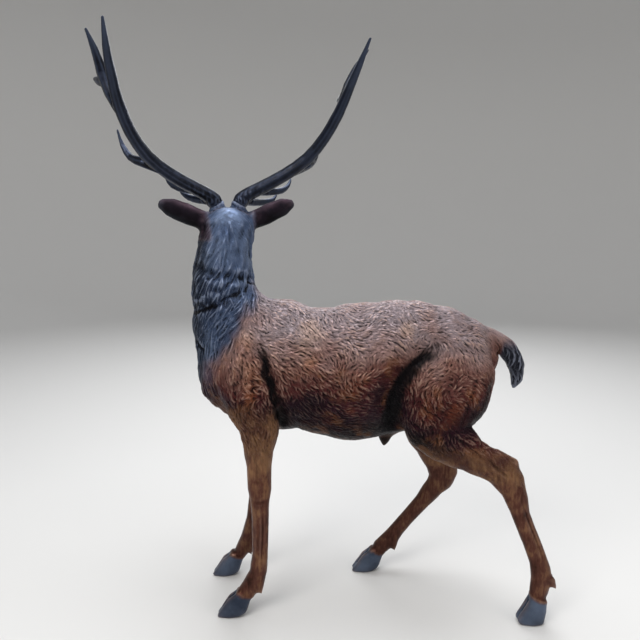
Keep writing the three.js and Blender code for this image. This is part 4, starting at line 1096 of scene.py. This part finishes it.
def skin_bronze():
    """Slate neck; the trunk grey-brown above, copper between and maroon to black below, partly
    painted light: lighter on faces turned up, painted shade underneath and in the creases, painted
    highlights on the ridges.
    """
    p = Patina("stag_bronze")
    hollow, slate = p.reading("hollow"), p.reading("slate")
    blotch, patch, fine = p.noise(8.0, 4.0), p.noise(15.0, 3.0), p.noise(60.0, 4.0)
    strands = p.noise(1.0, 3.0, 0.6, p.scaled(p.reading("strand", True), 0.035, 0.19, 40.0))

    # the tone carries painted light: the browns and coppers are lighter on faces turned up and
    # darker underneath
    tone_and_light = p.plus(p.reading("tone_and_light"), p.times(p.minus(blotch, 0.5), 0.7))
    brown = p.ladder(tone_and_light, BROWNS)
    gold = p.times(p.ramp(patch, 0.52, 0.68, 0.0, 0.45), p.ramp(tone_and_light, 0.9, 0.55))
    brown = p.mix(gold, brown, GOLD)
    copper = p.plus(p.reading("copper"), p.times(p.minus(patch, 0.5), 0.8))
    brown = p.mix(p.ramp(copper, 0.1, 0.9, 0.0, 0.7), brown, p.ladder(tone_and_light, COPPERS))
    brown = p.mix(p.ramp(copper, -0.1, -0.8, 0.0, 0.75), brown, PLUM)

    grain = p.noise(1.0, 3.0, 0.6, p.scaled(p.place(), 100.0, 100.0, 26.0))
    leg = p.plus(p.times(grain, 0.4), p.times(patch, 0.6))
    leg = p.math("MULTIPLY_ADD", p.reading("upper_leg"), 0.1, leg)
    brown = p.mix(p.reading("leg"), brown, p.ladder(leg, LEG_BROWNS))
    brown = p.mix(p.reading("face"), brown, FACE_BROWN)
    blue = p.ladder(p.plus(blotch, p.times(p.reading("parting"), 0.1)), SLATES)
    # painted shade: near black on the throat and the front of the chest
    blue = p.mix(p.times(p.reading("chest"), 0.85), blue, CHEST_SHADE_BLACK)
    colour = p.mix(slate, brown, blue)
    # painted light on the ears: lighter on faces turned up and near black underneath, with mottling
    ear = p.math("MULTIPLY_ADD", p.reading("upward"), 0.35, blotch)
    colour = p.mix(p.reading("ear"), colour, p.ladder(ear, EAR_SHADED_TO_LIT))
    colour = p.mix(p.reading("tail"), colour, TAIL_BLACK)
    colour = p.mix(p.reading("hoof"), colour, p.ladder(blotch, HOOF_BLUES))

    # black in the hollows and between the hairs, less on the legs: partly the patina's own black,
    # partly painted shade, and painted shade in the wide hollows
    patina_and_shade_dark = p.mix(slate, DEEP_BROWN, DEEP_BLUE)
    patina_and_shade_share = p.math("MULTIPLY_ADD", p.reading("leg"), -0.45, 1.0)
    colour = p.mix(p.times(patina_and_shade_share, p.ramp(hollow, -0.1, 1.4, 0.0, 0.85)), colour, patina_and_shade_dark)
    colour = p.mix(p.times(patina_and_shade_share, p.ramp(strands, 0.5, 0.3, 0.0, 0.7)), colour, patina_and_shade_dark)
    colour = p.mix(p.ramp(p.reading("wide_hollow"), 1.0, 9.0, 0.0, 0.8), colour, patina_and_shade_dark)
    # pale on the ridges and along the hairs, partly rubbed bronze and partly painted highlight,
    # least under the belly and on the ears
    rubbed_and_highlight = p.mix(slate, RUBBED_AND_HIGHLIGHT_BROWN, RUBBED_AND_HIGHLIGHT_BLUE)
    rubbed_and_highlight_share = p.math("MAXIMUM", p.ramp(tone_and_light, 0.1, 0.55, 0.25, 1.0), slate)
    rubbed_and_highlight_share = p.times(rubbed_and_highlight_share, p.minus(1.0, p.times(p.reading("ear"), 0.8)))
    colour = p.mix(p.times(rubbed_and_highlight_share, p.ramp(hollow, -0.2, -1.8, 0.0, 0.5)), colour, rubbed_and_highlight)
    colour = p.mix(p.times(rubbed_and_highlight_share, p.ramp(strands, 0.54, 0.74, 0.0, 0.38)), colour, rubbed_and_highlight)
    # painted shade: near black along the creases (partly the patina's own black), on the far legs
    # and on the sheath
    colour = p.mix(p.ramp(p.reading("shade"), 0.15, 0.95, 0.0, 0.94), colour, SHADE_BLACK)
    specks = p.ramp(p.noise(240.0, 2.0, 0.5), 0.76, 0.8)
    colour = p.mix(p.times(specks, p.ramp(blotch, 0.6, 0.7, 0.0, 0.5)), colour, DUST)

    rough = p.ramp(fine, 0.3, 0.7, 0.36, 0.52)
    rough = p.math("MULTIPLY_ADD", slate, 0.1, rough)
    rough = p.math("MULTIPLY_ADD", p.reading("face"), 0.12, rough)
    hairs = p.times(strands, p.minus(1.0, p.reading("hoof")))
    strength = p.plus(0.2, p.times(p.reading("core"), 0.8))
    normal = p.bump(hairs, 0.005, strength, p.bump(fine, 0.0005))
    return p.bronze(colour, rough, normal, 0.82, 0.06, 0.3)


def antler_bronze():
    """Near-black bronze with black in the hollows, partly patina and partly painted shade, and a
    painted blue-grey sheen on the rounded faces.
    """
    p = Patina("antler_bronze")
    hollow = p.reading("hollow")
    blotch, fine = p.noise(14.0, 4.0), p.noise(90.0, 4.0)
    colour = p.mix(p.ramp(blotch, 0.35, 0.65), "0a0c14", "161a28")
    # black in the hollows, partly the patina's own and partly painted shade; then a painted
    # blue-grey sheen on the rounded faces
    colour = p.mix(p.ramp(hollow, 0.1, 0.8, 0.0, 0.8), colour, "040508")
    colour = p.mix(p.ramp(hollow, -0.1, -1.0, 0.0, 0.5), colour, "4c566c")
    rough = p.ramp(fine, 0.3, 0.7, 0.3, 0.46)
    return p.bronze(colour, rough, p.bump(fine, 0.0005), 0.75, 0.08, 0.25)


skin.data.materials.append(skin_bronze())
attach(skin, "root")
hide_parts("stag_body")
horn = antler_bronze()
for name, piece in antlers.items():
    piece.data.materials.append(horn)
    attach(piece, "root")
    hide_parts("antler_" + name)


# ---------------- floor, light and camera

FLOOR_RADIUS, RIM, BACKDROP = 9.0, 2.5, 9.0  # the rim curves up from the floor to the backdrop
RIM_STEPS, SPOKES = 12, 64


def studio_floor():
    """A pale floor that curves up into a backdrop far behind the stag and all round it."""
    flat = FLOOR_RADIUS - RIM
    profile = [(flat, 0.0)]
    for k in range(1, RIM_STEPS + 1):
        turn = math.pi / 2 * k / RIM_STEPS
        profile.append((flat + RIM * math.sin(turn), RIM * (1 - math.cos(turn))))
    profile.append((FLOOR_RADIUS, BACKDROP))
    verts, faces = [], []
    for radius, height in profile:
        for s in range(SPOKES):
            turn = 2 * math.pi * s / SPOKES
            verts.append((radius * math.cos(turn), radius * math.sin(turn), height))
    verts.append((0, 0, 0))
    for s in range(SPOKES):
        t = (s + 1) % SPOKES
        faces.append((len(verts) - 1, s, t))
        for row in range(len(profile) - 1):
            a, b = row * SPOKES, (row + 1) * SPOKES
            faces.append((a + s, b + s, b + t, a + t))
    mesh = bpy.data.meshes.new("studio_floor")
    mesh.from_pydata(verts, [], faces)
    mesh.shade_smooth()
    paint = Patina("pale_floor")
    mesh.materials.append(paint.surface({"Base Color": "d9d8d6", "Roughness": 0.9}))
    floor = added("studio_floor", mesh)


def soft_light(name, place, aim, size, power, colour):
    light = bpy.data.lights.new(name, "AREA")
    light.shape = "RECTANGLE"
    light.size, light.size_y = size
    light.energy = power
    light.color = colour
    lamp = added(name, light)
    lamp.location = place
    lamp.rotation_euler = (Vector(aim) - Vector(place)).to_track_quat("-Z", "Y").to_euler()


def studio_light():
    soft_light("key_light", (-2.2, -3.4, 4.4), (0, 0, 1.0), (2.6, 2.6), 130, (1.0, 0.98, 0.95))
    soft_light("top_light", (0.4, 0.3, 5.0), (0, 0, 1.0), (4.5, 3.5), 210, (0.95, 0.97, 1.0))
    soft_light("fill_light", (3.6, -2.6, 2.2), (0, 0, 0.9), (2.2, 2.2), 30, (1.0, 0.95, 0.9))
    soft_light("back_light", (0.5, 4.2, 3.4), (0, 0, 1.1), (4.0, 2.5), 80, (0.95, 0.97, 1.0))
    world = bpy.data.worlds.new("pale_room")
    world.use_nodes = True
    sky = world.node_tree.nodes["Background"].inputs
    sky["Color"].default_value = (0.86, 0.88, 0.92, 1)
    sky["Strength"].default_value = 0.3
    bpy.context.scene.world = world
    bpy.context.scene.view_settings.view_transform = "Standard"


CAMERA_AT = (0.0, -2400.0, 1570.0)  # in millimetres
CAMERA_PITCH = 10.45  # degrees down
CAMERA_LENS, CAMERA_SENSOR = 36.5625, 36


def photographer():
    camera = bpy.data.cameras.new("camera")
    camera.sensor_width = CAMERA_SENSOR
    camera.lens = CAMERA_LENS
    eye = added("camera", camera)
    eye.location = ORIGIN + np.array(CAMERA_AT) * MM
    eye.rotation_euler = (math.radians(90 - CAMERA_PITCH), 0, 0)
    bpy.context.scene.camera = eye


studio_floor()
studio_light()
photographer()
